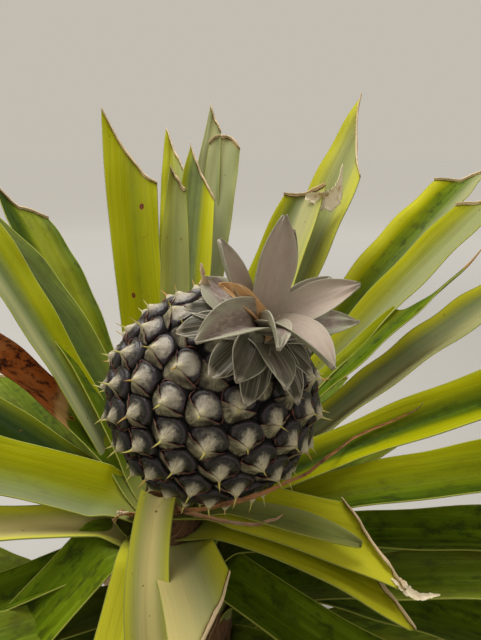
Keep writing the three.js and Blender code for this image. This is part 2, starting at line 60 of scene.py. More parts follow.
camera_data = bpy.data.cameras.new("camera")
camera_data.lens = LENS
camera_data.sensor_width = SENSOR
camera_data.clip_start = NEAREST_SEEN
camera = bpy.data.objects.new("camera", camera_data)
camera.location = CAMERA_PLACE
camera.rotation_euler = (math.radians(90 - CAMERA_PITCH), 0, 0)
bpy.context.scene.collection.objects.link(camera)
bpy.context.scene.camera = camera


# Number helpers.
def mix(low, high, share):
    """low where share is 0, high where it is 1, evenly between."""
    return low + (high - low) * share


def ease(low, high, value):
    """0 below low, 1 above high, and the smooth curve t*t*(3 - 2t) between them."""
    t = np.clip((value - low) / (high - low), 0, 1)
    return t * t * (3 - 2 * t)


def bell(value, middle, width):
    """exp(-((value - middle) / width)^2), a bump of that half width."""
    return np.exp(-(((value - middle) / width) ** 2))


def unit(vectors):
    """Each vector divided by its length."""
    return vectors / np.maximum(np.linalg.norm(vectors, axis=-1, keepdims=True), 1e-9)


# Mesh helpers.
def grid_quads(rows, columns, start=0, closed=False):
    """Quads between neighbours of a grid of points. A closed grid also joins its last column to its
    first."""
    row = np.arange(rows - 1)[:, None] * columns + start
    left = np.arange(columns if closed else columns - 1)[None, :]
    right = (left + 1) % columns
    quads = np.stack([row + left, row + right, row + columns + right, row + columns + left], -1)
    return quads.reshape(-1, 4)


def shell_faces(rows, columns):
    """Quads of a closed thin shell. Its sections run over the upper face and back along the under face."""
    ring = 2 * columns
    skin = grid_quads(rows, ring, closed=True)
    left = np.arange(columns - 1)
    foot = np.stack([left, ring - 1 - left, ring - 2 - left, left + 1], -1)
    last = (rows - 1) * ring
    end = np.stack([left, left + 1, ring - 2 - left, ring - 1 - left], -1) + last
    return np.concatenate([skin, foot, end])[:, ::-1]


def shell(upper, under, fields):
    """Joins two grids of points into one closed shell. A field's two halves are its values on each face."""
    rows, columns = upper.shape[:2]
    points = np.concatenate([upper, under[:, ::-1]], 1).reshape(-1, 3)
    joined = {}
    for name, (over, below) in fields.items():
        halves = np.concatenate([over, below[:, ::-1]], 1)
        joined[name] = halves.reshape((-1,) + halves.shape[2:])
    return points, shell_faces(rows, columns), joined


def capped_tube(grid, own, ends, end_owns):
    """A closed tube from a grid of points in rings, with a fan to one point at its foot and one at its
    head. own is the finish's own coordinate at the same places."""
    rings, spokes = grid.shape[:2]
    ring = np.arange(spokes)
    after = (ring + 1) % spokes
    foot = np.full(spokes, rings * spokes)
    last = (rings - 1) * spokes
    bottom = np.stack([after, ring, foot, foot], -1)
    top = np.stack([ring + last, after + last, foot + 1, foot + 1], -1)
    faces = np.concatenate([grid_quads(rings, spokes, closed=True), bottom, top])
    points = np.concatenate([grid.reshape(-1, 3), ends])
    return points, faces, {"blade": np.concatenate([own.reshape(-1, 3), end_owns])}


def join(parts):
    """Several (points, faces, fields) as one, with the faces renumbered."""
    starts = np.cumsum([0] + [len(points) for points, _, _ in parts[:-1]])
    points = np.concatenate([part[0] for part in parts])
    faces = np.concatenate([part[1] + start for part, start in zip(parts, starts)])
    names = parts[0][2]
    fields = {name: np.concatenate([part[2][name] for part in parts]) for name in names}
    return points, faces, fields


def add_piece(name, shape, material, nodes=()):
    """A mesh object from (points in mm, quads, fields), riding on the root and standing for the nodes.
    A quad whose last two corners are the same point is a triangle."""
    points, faces, fields = shape
    narrow = faces[:, 2] == faces[:, 3]
    sizes = np.where(narrow, 3, 4)
    keep = np.ones(faces.shape, bool)
    keep[:, 3] = ~narrow
    mesh = bpy.data.meshes.new(name)
    mesh.vertices.add(len(points))
    mesh.vertices.foreach_set("co", (points * MM).astype(np.float32).ravel())
    mesh.loops.add(int(sizes.sum()))
    mesh.loops.foreach_set("vertex_index", faces[keep].astype(np.int32))
    mesh.polygons.add(len(faces))
    starts = np.concatenate([[0], np.cumsum(sizes)[:-1]])
    mesh.polygons.foreach_set("loop_start", starts.astype(np.int32))
    mesh.update(calc_edges=True)
    for field, values in fields.items():
        kind = "FLOAT_VECTOR" if values.ndim > 1 else "FLOAT"
        layer = mesh.attributes.new(field, kind, "POINT")
        key = "vector" if values.ndim > 1 else "value"
        layer.data.foreach_set(key, values.astype(np.float32).ravel())
    mesh.shade_smooth()
    mesh.materials.append(material)
    piece = bpy.data.objects.new(name, mesh)
    bpy.context.scene.collection.objects.link(piece)
    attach(piece, "root")
    if nodes:
        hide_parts(*nodes)
    return piece


# Material helpers.
def colour(code):
    """A hex sRGB colour as the linear colour that the shader takes, by the sRGB curve."""
    parts = np.array([int(code[at:at + 2], 16) for at in (1, 3, 5)]) / 255
    linear = np.where(parts <= 0.04045, parts / 12.92, ((parts + 0.055) / 1.055) ** 2.4)
    return (*linear.tolist(), 1.0)


def add_node(tree, kind, settings, inputs):
    """Adds one node, sets its settings, and sets its inputs or links them from other nodes or sockets."""
    made = tree.nodes.new(kind)
    for key, value in settings.items():
        setattr(made, key, value)
    for key, value in inputs.items():
        if isinstance(value, bpy.types.Node):
            value = next(socket for socket in value.outputs if socket.enabled)
        if isinstance(value, bpy.types.NodeSocket):
            tree.links.new(value, made.inputs[key])
        else:
            made.inputs[key].default_value = value
    return made


def paint(name, base, noises, masks, layers, roughness, bumps, shine=0.5):
    """A painted finish. noises: name to (coordinate, scale of each axis, detail, roughness), in repeats
    for each mm. masks: name to (source, value where 0, value where 1, optional second mask that scales it
    and noise that frays it by an amount). layers: (colour, mask) laid over the base in turn.
    roughness: (base, [(value, mask)]). bumps: (source, height in mm)."""
    material = bpy.data.materials.new(name)
    material.use_nodes = True
    tree = material.node_tree
    tree.nodes.clear()
    made = {}

    def source(key):
        """The node for the place in mm, a noise, a mask or an attribute, made when first asked for."""
        if key in made:
            return made[key]
        if key == "place":
            texture = add_node(tree, "ShaderNodeTexCoord", {}, {})
            made[key] = add_node(tree, "ShaderNodeVectorMath", {"operation": "MULTIPLY"},
                                 {0: texture.outputs["Object"], 1: (1 / MM,) * 3})
        elif key in noises:
            coordinate, scales, detail, rough = noises[key]
            stretched = add_node(tree, "ShaderNodeVectorMath", {"operation": "MULTIPLY"},
                                 {0: source(coordinate), 1: scales})
            made[key] = add_node(tree, "ShaderNodeTexNoise", {}, {
                "Vector": stretched, "Scale": 1.0, "Detail": detail, "Roughness": rough})
        else:
            made[key] = add_node(tree, "ShaderNodeAttribute", {"attribute_name": key}, {})
        return made[key]

    for key, (origin, low, high, *more) in masks.items():
        value = source(origin)
        if origin == "spot":
            value = add_node(tree, "ShaderNodeVectorMath", {"operation": "LENGTH"}, {0: value})
        if len(more) > 1:
            value = add_node(tree, "ShaderNodeMath", {"operation": "MULTIPLY_ADD"},
                             {0: source(more[1]), 1: more[2], 2: value})
        made[key] = add_node(tree, "ShaderNodeMapRange", {"interpolation_type": "SMOOTHSTEP"}, {
            "Value": value, "From Min": low, "From Max": high})
        if more and more[0]:
            made[key] = add_node(tree, "ShaderNodeMath", {"operation": "MULTIPLY"},
                                 {0: made[key], 1: source(more[0])})
    painted = colour(base)
    for code, mask in layers:
        painted = add_node(tree, "ShaderNodeMix", {"data_type": "RGBA"},
                           {0: source(mask), 6: painted, 7: colour(code)})
    dull = roughness[0]
    for value, mask in roughness[1]:
        dull = add_node(tree, "ShaderNodeMix", {"data_type": "FLOAT"},
                        {0: source(mask), 2: dull, 3: value})
    relief = None
    for key, height in bumps:
        links = {"Height": source(key), "Distance": height * MM, "Strength": 1.0}
        if relief:
            links["Normal"] = relief
        relief = add_node(tree, "ShaderNodeBump", {}, links)
    shader = add_node(tree, "ShaderNodeBsdfPrincipled", {}, {
        "Base Color": painted, "Roughness": dull, "Specular IOR Level": shine})
    if relief:
        tree.links.new(relief.outputs[0], shader.inputs["Normal"])
    add_node(tree, "ShaderNodeOutputMaterial", {}, {"Surface": shader.outputs[0]})
    return material


# Finishes. A blade's own coordinate runs across it and along it in mm, with its number as the third axis.
BLADE_NOISES = {
    "streaks": ("blade", (0.22, 0.008, 1), 3, 0.6),
    "veins": ("blade", (0.75, 0.010, 1), 2, 0.5),
    "patches": ("blade", (0.035, 0.014, 1), 3, 0.55),
    "mottle": ("blade", (0.11, 0.05, 1), 5, 0.7),
    "specks": ("blade", (0.35, 0.22, 1), 2, 0.4),
}
CUT_MASKS = {
    "dying": ("dry", 0.15, 0.6, None, "mottle", 0.3),
    "rusted": ("dry", 1.0, 1.3, None, "patches", 0.5),
    "scorched": ("mottle", 0.46, 0.6, "rusted"),
    "browned": ("cut", 9.0, 4.0, None, "streaks", 6.0),
    "bordered": ("cut", 4.6, 3.4, None, "specks", 1.6),
    "rolled": ("cut", 3.5, 2.9, None, "specks", 1.2),
    "ringed": ("spot", 1.3, 0.9),
    "spotted": ("spot", 1.0, 0.65),
    "healed": ("spot", 0.3, 0.1),
}

# Living pineapple leaf: a thick waxy strap, glossy yellow-green above with lengthwise veins and a pale
# margin, and silvery scales in lines below. Cut ends dry out to a cream roll with a brown line before it.
living_leaf = paint(
    "living_leaf_waxy", "#4d6106", BLADE_NOISES,
    {
        "deep": ("mottle", 0.47, 0.66),
        "light": ("streaks", 0.42, 0.72),
        "golden": ("gold", 0.25, 1.15, None, "patches", 0.5),
        "bloom": ("frost", 0.15, 1.3, None, "streaks", 0.4),
        "line": ("veins", 0.45, 0.75, "golden"),
        "silver": ("under", 0.2, 0.8),
        "silver_line": ("veins", 0.45, 0.8, "silver"),
        "pale_foot": ("foot", 0.1, 1.2),
        # Gold and frost past 1 turn a blade bright yellow and cream: partly its own colour and partly
        # painted light where it stands in brighter light.
        "yellow_and_painted_light": ("gold", 1.0, 2.2, None, "streaks", 0.4),
        "chalky_and_painted_light": ("frost", 1.0, 2.2, None, "streaks", 0.4),
        # Shade paints a darker green: partly the leaf's own deeper green and partly painted shade.
        "deeper_green_and_painted_shade": ("shade", 0.0, 1.0, None, "patches", 0.2),
        "margin_off": ("rim", 2.0, 5.0),
        "margin": ("rim", 0.65, 0.25),
        "freckled": ("specks", 0.73, 0.78, "margin_off"),
        **CUT_MASKS,
    },
    [("#647a08", "light"), ("#2b3f05", "deep"), ("#9b9a00", "golden"), ("#868c02", "line"),
     ("#8f9468", "bloom"), ("#c9c530", "yellow_and_painted_light"), ("#d0c17c", "chalky_and_painted_light"), ("#22330a", "deeper_green_and_painted_shade"),
     ("#6c763c", "silver"), ("#808658", "silver_line"), ("#8a8c48", "pale_foot"),
     ("#6b4a20", "freckled"), ("#9ca048", "margin"), ("#a07c48", "dying"), ("#864418", "rusted"),
     ("#2a130c", "scorched"), ("#6f6a1e", "browned"), ("#3f1d0d", "bordered"), ("#dcc39a", "rolled"),
     ("#8a6c1e", "ringed"), ("#5a2c16", "spotted"), ("#86583c", "healed")],
    (0.52, [(0.62, "silver"), (0.62, "bloom"), (0.85, "dying"), (0.8, "bordered")]),
    [("veins", 0.18), ("streaks", 0.35), ("mottle", 0.12)],
    shine=0.04,
)

# Dead pineapple leaf: straw-brown papery fibre, split along its veins and darkened by damp.
dead_leaf = paint(
    "dead_leaf_papery", "#a5825a", BLADE_NOISES,
    {
        "straw": ("streaks", 0.4, 0.7),
        "dark": ("patches", 0.45, 0.7),
        "damp": ("mottle", 0.52, 0.7),
        "fibre": ("veins", 0.52, 0.72),
        "grey": ("under", 0.2, 0.8),
        "torn": ("cut", 12.0, 2.0, None, "streaks", 8.0),
    },
    [("#c9ab7c", "straw"), ("#7a5230", "dark"), ("#4f3422", "damp"), ("#d8c49c", "fibre"),
     ("#8d7c66", "grey"), ("#5b3d26", "torn")],
    (0.85, [(0.7, "straw")]),
    [("veins", 0.5), ("streaks", 0.9), ("mottle", 0.5)],
    shine=0.3,
)

# Crown leaf: small thick leaf, purple-grey under a coat of frosty scales, greener to the margins.
crown_leaf = paint(
    "crown_leaf_frosted", "#84726b",
    {
        "streaks": ("blade", (0.5, 0.03, 1), 3, 0.6),
        "veins": ("blade", (1.5, 0.02, 1), 2, 0.5),
        "patches": ("blade", (0.13, 0.06, 1), 3, 0.55),
        "mottle": ("blade", (0.4, 0.2, 1), 5, 0.7),
    },
    {
        "frosty": ("mottle", 0.4, 0.66),
        "greener": ("rim", 5.5, 1.5, None, "patches", -3.0),
        "mauve": ("patches", 0.5, 0.7),
        "pink": ("gold", 0.15, 1.2),
        # Frost paints shade here: a dark olive for crown leaves and bracts that lie in the crown's shadow.
        "papery": ("frost", 0.3, 1.0),
        "silver": ("under", 0.2, 0.8),
        "line": ("veins", 0.5, 0.75),
        "margin": ("rim", 0.45, 0.15),
        "pale_tip": ("cut", 4.0, 0.3),
        "dying": ("dry", 0.2, 0.6, None, "mottle", 0.3),
        "scorched": ("mottle", 0.54, 0.68, "dying"),
        "bleached": ("streaks", 0.5, 0.7, "dying"),
    },
    [("#aea192", "frosty"), ("#94937a", "greener"), ("#755b56", "mauve"), ("#b8a594", "pink"),
     ("#45412f", "papery"), ("#959279", "silver"), ("#a79c8c", "line"), ("#b5b098", "margin"),
     ("#b4aa98", "pale_tip"), ("#d2a570", "dying"), ("#a0673a", "scorched"), ("#e6c89e", "bleached")],
    (0.55, [(0.7, "frosty"), (0.85, "dying")]),
    [("veins", 0.15), ("streaks", 0.2), ("mottle", 0.15)],
    shine=0.3,
)

# Unripe pineapple skin: hard, purple-grey and half glossy, dusted with frosty scales in the middle of each
# eye, with painted shade near black in the seams. The eye coordinate is mm to the side and towards the
# crown.
fruit_skin = paint(
    "fruit_skin_unripe", "#1b1615",
    {
        "dust": ("place", (0.55, 0.55, 0.55), 5, 0.7),
        "cloud": ("place", (0.12, 0.12, 0.12), 3, 0.6),
        "grain": ("place", (1.5, 1.5, 1.5), 3, 0.6),
        "rays": ("eye", (0.55, 0.12, 1), 3, 0.6),
    },
    {
        "olive": ("cloud", 0.45, 0.62),
        "frosted": ("frost", 0.5, 1.15, None, "dust", 0.8),
        "rayed": ("rays", 0.5, 0.66, "frosted"),
        "ridge": ("ridge", 0.4, 0.95),
        # Painted shade: near black where the skin sinks into the seams between the eyes.
        "seam_shade": ("height", 2.7, 1.1),
        "pitted": ("grain", 0.6, 0.68, "frosted"),
        # Painted light: eyes on the fruit's upper left are made paler.
        "painted_light_upper_left": ("pale", 0.55, 1.45, None, "dust", 1.0),
        "bright": ("bright", 0.15, 1.05, None, "dust", 0.35),
        "shaded": ("low", 0.05, 0.95),
        # Painted shade: a near-black line in the crevice along each shield's upper rim.
        "crevice_shade": ("rim_crevice", 0.2, 0.8),
    },
    [("#211e13", "olive"), ("#a69c87", "frosted"), ("#c5bba0", "rayed"), ("#a79d8b", "painted_light_upper_left"),
     ("#332630", "ridge"), ("#c4b994", "bright"), ("#514538", "pitted"), ("#0b0907", "shaded"),
     ("#0c0908", "seam_shade"), ("#0c0908", "crevice_shade")],
    (0.32, [(0.6, "frosted"), (0.28, "ridge"), (0.85, "seam_shade"), (0.9, "crevice_shade")]),
    [("dust", 0.3), ("grain", 0.14), ("rays", 0.25)],
    shine=0.4,
)

# Bract of an eye: a leathery grey-olive sheet with fine ridges that fan out from its spine.
fruit_bract = paint(
    "fruit_bract_leathery", "#5c553f",
    {
        "dust": ("place", (0.5, 0.5, 0.5), 5, 0.7),
        "cloud": ("place", (0.1, 0.1, 0.1), 3, 0.6),
        "fanned": ("fan", (1.1, 0.06, 0.3), 2, 0.5),
    },
    {
        "frosted": ("dust", 0.42, 0.62),
        "ribbed": ("fanned", 0.5, 0.68),
        "dark": ("cloud", 0.47, 0.64),
        "light": ("bright", 0.15, 1.05, None, "dust", 0.3),
        "edge": ("edge", 0.45, 0.9),
        # Painted shade: near black where the bract runs down between the eyes.
        "seam_shade": ("height", 0.92, 1.1),
        "shaded": ("low", 0.05, 0.95),
    },
    [("#7f7860", "frosted"), ("#989070", "ribbed"), ("#3a3324", "dark"), ("#bcb18e", "light"),
     ("#74473a", "edge"), ("#130f0a", "shaded"), ("#17110d", "seam_shade")],
    (0.55, [(0.65, "frosted")]),
    [("dust", 0.25), ("fanned", 0.2)],
    shine=0.35,
)

# Spine: horny, yellow-green at its foot, through yellow to a brown point.
fruit_spine = paint(
    "fruit_spine_horny", "#b5ab83",
    {"grain": ("place", (0.8, 0.8, 0.8), 3, 0.6)},
    {
        "yellow": ("edge", 0.05, 0.35), "orange": ("gold", 0.72, 1.0), "patchy": ("grain", 0.5, 0.7),
        "tip": ("edge", 0.6, 1.0),
    },
    [("#bdb45c", "yellow"), ("#b57a36", "orange"), ("#9a8c4c", "patchy"), ("#8c6a3c", "tip")],
    (0.5, []),
    [("grain", 0.15)],
    shine=0.35,
)

# Papery margin left by the flower: thin, dry and red-brown, with a pale torn edge.
fruit_paper = paint(
    "fruit_margin_papery", "#3a1d18",
    {"cloud": ("place", (0.3, 0.3, 0.3), 3, 0.6), "grain": ("place", (1.3, 1.3, 1.3), 3, 0.6)},
    {"pink": ("cloud", 0.48, 0.66), "edge": ("edge", 0.82, 1.0, "cloud"), "dark": ("grain", 0.5, 0.66)},
    [("#6a392e", "pink"), ("#1f1110", "dark"), ("#94604e", "edge")],
    (0.7, []),
    [("grain", 0.15)],
)

# Orange bract: a dried pointed bract, straw to orange-brown.
dry_bract = paint(
    "dry_bract_orange", "#935c30", BLADE_NOISES,
    {"light": ("streaks", 0.4, 0.7), "dark": ("mottle", 0.45, 0.66), "pale": ("tip", 16.0, 4.0, "light"),
     "papery": ("paper", 0.3, 0.9, None, "mottle", 0.3), "folded": ("mottle", 0.55, 0.66, "papery")},
    [("#b78a55", "light"), ("#54301c", "dark"), ("#e0c79a", "pale"), ("#efe0bd", "papery"),
     ("#c9a878", "folded")],
    (0.75, []),
    [("veins", 0.2), ("mottle", 0.2)],
)

# Core of the fruit: seen only in the seams between the eyes, and near black there as painted shade.
fruit_seam = paint(
    "fruit_core_painted_shade", "#090706",
    {"grain": ("place", (0.4, 0.4, 0.4), 3, 0.6)},
    {"light": ("grain", 0.5, 0.7)},
    [("#120d0b", "light")],
    (0.9, []),
    [("grain", 0.5)],
)

# Old leaf bases and stem bark: brown fibrous husk in rings, with pale broken fibres.
stem_husk = paint(
    "stem_husk_fibrous", "#6b4c31",
    {
        "fibres": ("blade", (0.5, 0.04, 1), 4, 0.65),
        "patches": ("place", (0.06, 0.06, 0.06), 3, 0.6),
        "grain": ("place", (0.5, 0.5, 0.5), 4, 0.7),
    },
    {"pale": ("fibres", 0.5, 0.7), "dark": ("patches", 0.48, 0.66), "grit": ("grain", 0.55, 0.7)},
    [("#a1835c", "pale"), ("#3f2a1b", "dark"), ("#2c1d13", "grit")],
    (0.9, []),
    [("fibres", 1.0), ("grain", 0.5)],
    shine=0.25,
)

# Stalk: green fleshy stem, downy and dull.
stalk_skin = paint(
    "stalk_green_downy", "#7c8a50",
    {
        "fibres": ("blade", (0.6, 0.05, 1), 3, 0.6),
        "grain": ("place", (0.4, 0.4, 0.4), 4, 0.7),
    },
    {"pale": ("fibres", 0.45, 0.7), "brown": ("grain", 0.55, 0.72)},
    [("#a3a878", "pale"), ("#6d5a3a", "brown")],
    (0.7, []),
    [("fibres", 0.3)],
)


# Leaves. Azimuths turn anticlockwise from +X seen from above. Rise is the slope of the midrib above the
# horizon, in degrees, and root, length and width are mm. What a row leaves out is in BLADE_DEFAULTS:
# sweep, roll and fold turn the midrib, the blade about it and its two halves, in degrees;
# ring, sheath and clasp are the foot's distance from the axis, its drop and its half width;
# cut_cw and cut_acw say how much shorter the blade is at its clockwise and anticlockwise margin, hollow at
# its middle, and uncut how long it grew, which with waist sets its outline;
# curl is the radius and turn of the rolled-over end, and pointed how far off a cut's border stays;
# gold, frost and shade are strengths of those colours, spread evenly from the clockwise margin across, and
# shade is partly painted shade;
# dry_end is how much of the end is dried out, and straw how far its palest part reaches;
# spots are (distance along, place across as a share of the half width, radius);
# cut_margin is the side, 1 or -1, and the distance from which that margin is cut back.
LEAF_RING_RADIUS = 46
UNCUT_RATIO = 1.35
LEAF_WAIST = 0.62
WAIST_START = 0.06
WAIST_LENGTH = 0.42
TIP_SHARE = 0.52
TIP_ROUNDING = 0.8
NARROWEST_SHARE = 0.06
CHANNEL_ROUNDING = 0.18
SWEEP_POWER = 1.3
MARCH_STEPS = 240

LEAF_COLUMNS = "name azimuth root rise rise_end length width fold".split()
LEAVES = [
    ("back_leaf_1", 107, 356, 58, 45, 345, 52, 19,
     {"cut_cw": 105, "cut_acw": 19, "hollow": 10, "sweep": -9, "uncut": 750,
      "gold": (1.0, 0.7, 0.5, 0.9, 1.1), "shade": (0, 0.15, 0),
      "spots": [(222, -0.35, 2.2), (140, 0.3, 1.6)]}),
    ("back_leaf_2", 95, 330, 54, 36, 387, 26, 22,
     {"cut_cw": 72, "uncut": 505, "gold": (0.8, 0.8, 1.3), "frost": (0.8, 0.4, 0.0)}),
    ("back_leaf_3", 91.5, 375, 72, 55, 222, 23, 22,
     {"cut_cw": 26, "cut_acw": 6, "uncut": 247, "gold": (0.8, 0.5, 1.1), "frost": (0.7, 0.6, 0.4)}),
    ("back_leaf_4", 88, 352, 60, 47, 290, 36, 24,
     {"cut_cw": 62, "sweep": -3, "uncut": 375, "gold": (1.7, 1.2, 0.0, 0.1, 0.8),
      "frost": (0, 0, 0.5, 0.5, 0)}),
    ("back_leaf_5", 87, 286, 62, 50, 412, 30, 22,
     {"cut_cw": 38, "cut_acw": 5, "sweep": -4, "uncut": 451, "gold": (0.3, 0.2, 0.4),
      "frost": (0.7, 1.2, 0.9)}),
    ("back_leaf_6", 83, 347, 53, 48, 318, 31, 11,
     {"cut_cw": 16, "cut_acw": 8, "hollow": -14, "sweep": -1, "uncut": 600, "frost": (0.7, 1.1, 1.0),
      "gold": (0.8, 0.4, 0.3), "dry_end": 3}),
    ("right_back_leaf_1", 57, 340, 50, 42, 404, 48, 22,
     {"cut_cw": 112, "hollow": 10, "sweep": -3, "gold": (1.5, 1.4, 0.5, 1.2, 1.6),
      "frost": (0.6, 0.9, 0.6, 0.9, 0.2)}),
    ("right_back_leaf_2", 60, 364, 52, 44, 250, 46, 22,
     {"cut_acw": 14, "gold": (1.4, 1.0, 0.3, 0.4, 1.2), "frost": (1.0, 1.2, 1.3, 0.4, 0),
      "shade": (0, 0, 0, 0.4, 0), "dry_end": 3}),
    ("right_leaf_1", 46, 352, 33, 21, 450, 58, 26,
     {"cut_acw": 45, "hollow": -10, "gold": (0.6, 0.3, 0.0, 0.3, 2.3), "frost": (1.2, 0.8, 0.2, 0, 0)}),
    ("right_leaf_2", 37, 366, 32, 26, 352, 44, 28,
     {"cut_acw": 27, "hollow": -12, "uncut": 567, "gold": (1.0, 0.4, 0.6, 0.6, 1.4),
      "frost": (0.7, 0.9, 0.8, 0.3, 0)}),
    ("right_leaf_3", 30, 376, 30, 27, 272, 26, 26,
     {"cut_acw": 95, "hollow": 30, "uncut": 275, "gold": (0.1, 0.0, 0.6), "dry_end": 30, "straw": 60,
      "curl": (0.6, 15), "pointed": 9}),
    ("right_leaf_4", 27, 354, 28, 15, 400, 44, 28,
     {"cut_acw": 40, "gold": (0.2, 0.0, 0.0, 0.1, 2.2), "frost": (1.1, 1.3, 1.2, 0.6, 0)}),
    ("right_leaf_5", 14, 366, 18, 0, 400, 50, 26,
     {"cut_acw": 40, "roll": 15, "gold": (1.1, 0.6, 0.0, 0.5, 1.3), "shade": (0, 0, 0.5, 0.3, 0)}),
    ("right_leaf_6", 1, 356, 16, -8, 400, 52, 28,
     {"cut_cw": 40, "roll": 14, "gold": (0.0, 0.3, 0.7), "shade": (0.5, 0.25, 0)}),
    ("right_leaf_7", 2, 336, 4, -14, 330, 44, 24, {"cut_acw": 30, "roll": 8, "gold": (0.1, 0, 0.1)}),
    ("right_front_leaf_1", -14, 376, -8, -8, 98, 54, 14,
     {"cut_acw": 38, "roll": 24, "uncut": 300, "gold": (1.9, 1.5, 1.2), "curl": (2.6, 150),
      "spots": [(56, -0.1, 2.6)]}),
    ("right_front_leaf_2", -18, 364, -4, -20, 106, 50, 14,
     {"cut_acw": 42, "roll": 12, "uncut": 300, "gold": (1.6, 0.9, 0.7), "curl": (2.2, 150)}),
    ("right_front_leaf_3", -32, 330, -10, -16, 300, 58, 21, {"cut_acw": 20, "gold": (0.1, 0, 0.1)}),
    ("right_front_leaf_4", -6, 316, -8, -24, 300, 50, 21, {"cut_acw": 20, "gold": (0.1, 0, 0.1)}),
    ("right_front_leaf_5", -20, 377, 2, -6, 74, 20, 18,
     {"uncut": 76, "waist": 0.8, "gold": (0.6, 0.3, 0.6), "frost": (0.6, 0.4, 0.6),
      "curl": (0.6, 15), "pointed": 9}),
    ("left_leaf_1", 123.5, 350.3, 37.9, 28.8, 348, 48, 24,
     {"cut_cw": 60, "sweep": 7.3, "uncut": 429, "gold": (0.1, 0.4, 0.4, 0, 0),
      "shade": (0.3, 0.1, 0.1, 0.5, 0.6)}),
    ("left_leaf_2", 129.3, 383.6, 36.9, 17.2, 338, 50, 24,
     {"cut_acw": 20, "sweep": 24, "uncut": 568, "gold": (0.3, 0.3, 0.1, 0.1, 0.2),
      "shade": (0.3, 0.5, 0.5, 0.3, 0.3), "frost": (0.1, 0.3, 0.2, 0.1, 0)}),
    ("left_leaf_3", 140, 368, 45, 31, 362, 41, 28,
     {"cut_cw": 30, "sweep": 1, "uncut": 479, "gold": (0.6, 0.6, 0.1, 0.4, 0.6), "shade": (0, 0, 0.3, 0, 0),
      "frost": (0, 0, 0.5, 1.2, 0.8)}),
    ("left_leaf_4", 144, 378, 24, 0, 330, 38, 22,
     {"cut_acw": 30, "sweep": 8, "gold": (0.6, 0.2, 0.1), "dry_end": 258,
      "shade": (0, 0.3, 0.4), "spots": [(52, 0.1, 1.8)]}),
    ("left_leaf_5", 160, 362, 26, 2, 380, 46, 26,
     {"cut_acw": 30, "gold": (0.5, 0.0, 0.3), "shade": (0.3, 1.0, 0.8)}),
    ("left_leaf_6", 176, 374, 16, -10, 380, 60, 16,
     {"cut_acw": 30, "roll": -24, "gold": (0.9, 0.6, 0.1), "shade": (0, 0.3, 0.2), "frost": (0, 0.0, 0.9),
      "cut_margin": (1, 62), "spots": [(112, -0.75, 3), (152, -0.6, 4)]}),
    ("left_leaf_7", 188, 356, 6, -20, 380, 50, 21,
     {"cut_acw": 30, "gold": (2.0, 1.0, 1.9), "frost": (0.4, 2.2, 1.0)}),
    ("left_front_leaf_1", 197, 336, -12, -30, 300, 54, 21, {"cut_acw": 20, "gold": (0.1, 0, 0.1)}),
    ("left_front_leaf_2", 213, 352, -36, -50, 300, 60, 18,
     {"cut_acw": 30, "roll": -10, "waist": 0.7, "gold": (0.1, 0.05, 0.1)}),
    ("front_leaf_1", 255, 358, -44, -60, 225, 44, 19,
     {"cut_acw": 30, "sweep": 8, "gold": (2.0, 1.7, 1.0), "frost": (0, 0.2, 1.4)}),
    ("front_leaf_2", 290, 364, 12, -6, 65, 46, 13,
     {"cut_acw": 38, "roll": 12, "waist": 0.8, "uncut": 200, "gold": (0.5, 0.9, 1.6),
      "frost": (2.0, 1.3, 0.1), "curl": (1.4, 110)}),
    ("front_leaf_3", 264, 388, -27, -70, 116, 25, 18,
     {"ring": 22, "waist": 0.9, "uncut": 138, "sweep": 38, "gold": (1.7, 0.8, 1.7),
      "frost": (0.4, 2.0, 0.6), "pointed": 9}),
]

# Lower leaves: older ones down the stem, a golden angle apart, each lower, shorter and more drooping. The
# even ones are nodes of their own, and the ones between share a node.
LOWER = {"count": 18, "dead": 6, "azimuth": 78, "root": 318, "root_step": 9.5, "rise": 20, "rise_step": 2,
         "droop": 20, "length": 372, "length_step": 5, "width": 52, "cuts": ("cut_acw", "cut_cw"),
         "gold": (0.3, 0.1, 0.3), "frost": (0.2, 0.1, 0.2), "rows": 72, "columns": 25, "seed": 40}
# Filling leaves: shorter ones between the lower leaves, all in the node that the odd ones share.
FILLING = {"count": 12, "dead": 3, "azimuth": 146, "root": 300, "root_step": 9, "rise": 24, "rise_step": 3,
           "droop": 24, "length": 300, "length_step": 4, "width": 50, "cuts": ("cut_cw", "cut_acw"),
           "gold": (0.2, 0.0, 0.2), "frost": (0.1, 0.2, 0.1), "rows": 60, "columns": 21, "seed": 200}
LOWER_FOLD = 20
LOWER_CUT = 34

# Skirt: the oldest leaves hang dead round the foot of the stem.
SKIRT_LEAF_COUNT = 11
SKIRT_START_AZIMUTH = 15
SKIRT_TOP_ROOT = 134
SKIRT_ROOT_STEP = 6
SKIRT_RISE = -18
SKIRT_DROOP = 34
SKIRT_SWEEP = 14
SKIRT_WIDTH = 46
SKIRT_FOLD = 24
SKIRT_GROUND_CLEARANCE = 12
SKIRT_RING = 45
SKIRT_SHEATH = 30
SKIRT_SEED = 70

# Stem: radius and height of its outline. Its head is slim, because the feet of the top leaves cover it.
STEM_OUTLINE = np.array([[47, 0], [41, 16], [36, 60], [40, 225], [41, 290], [36, 318], [27, 345], [18, 370],
                         [14, 382], [13, 388]])

# The sheath is the clasping foot of a blade, which turns down and widens round the stem.
SHEATH_DROP = 46
SHEATH_INSET = 10
SHEATH_HALF_WIDTH = 32
SHEATH_PULL = 34
SHEATH_ROWS = 12
# Leaves that root high enough have their feet drawn in over the stem's head to the stalk.
HEAD_LEAST_ROOT = 328
HEAD_SHEATH = 34
HEAD_CLASP = 30
HEAD_CLASP_TAPER = 0.25
HEAD_DROP = 6
HEAD_DROP_SHARE = 14
HEAD_INSET = 1
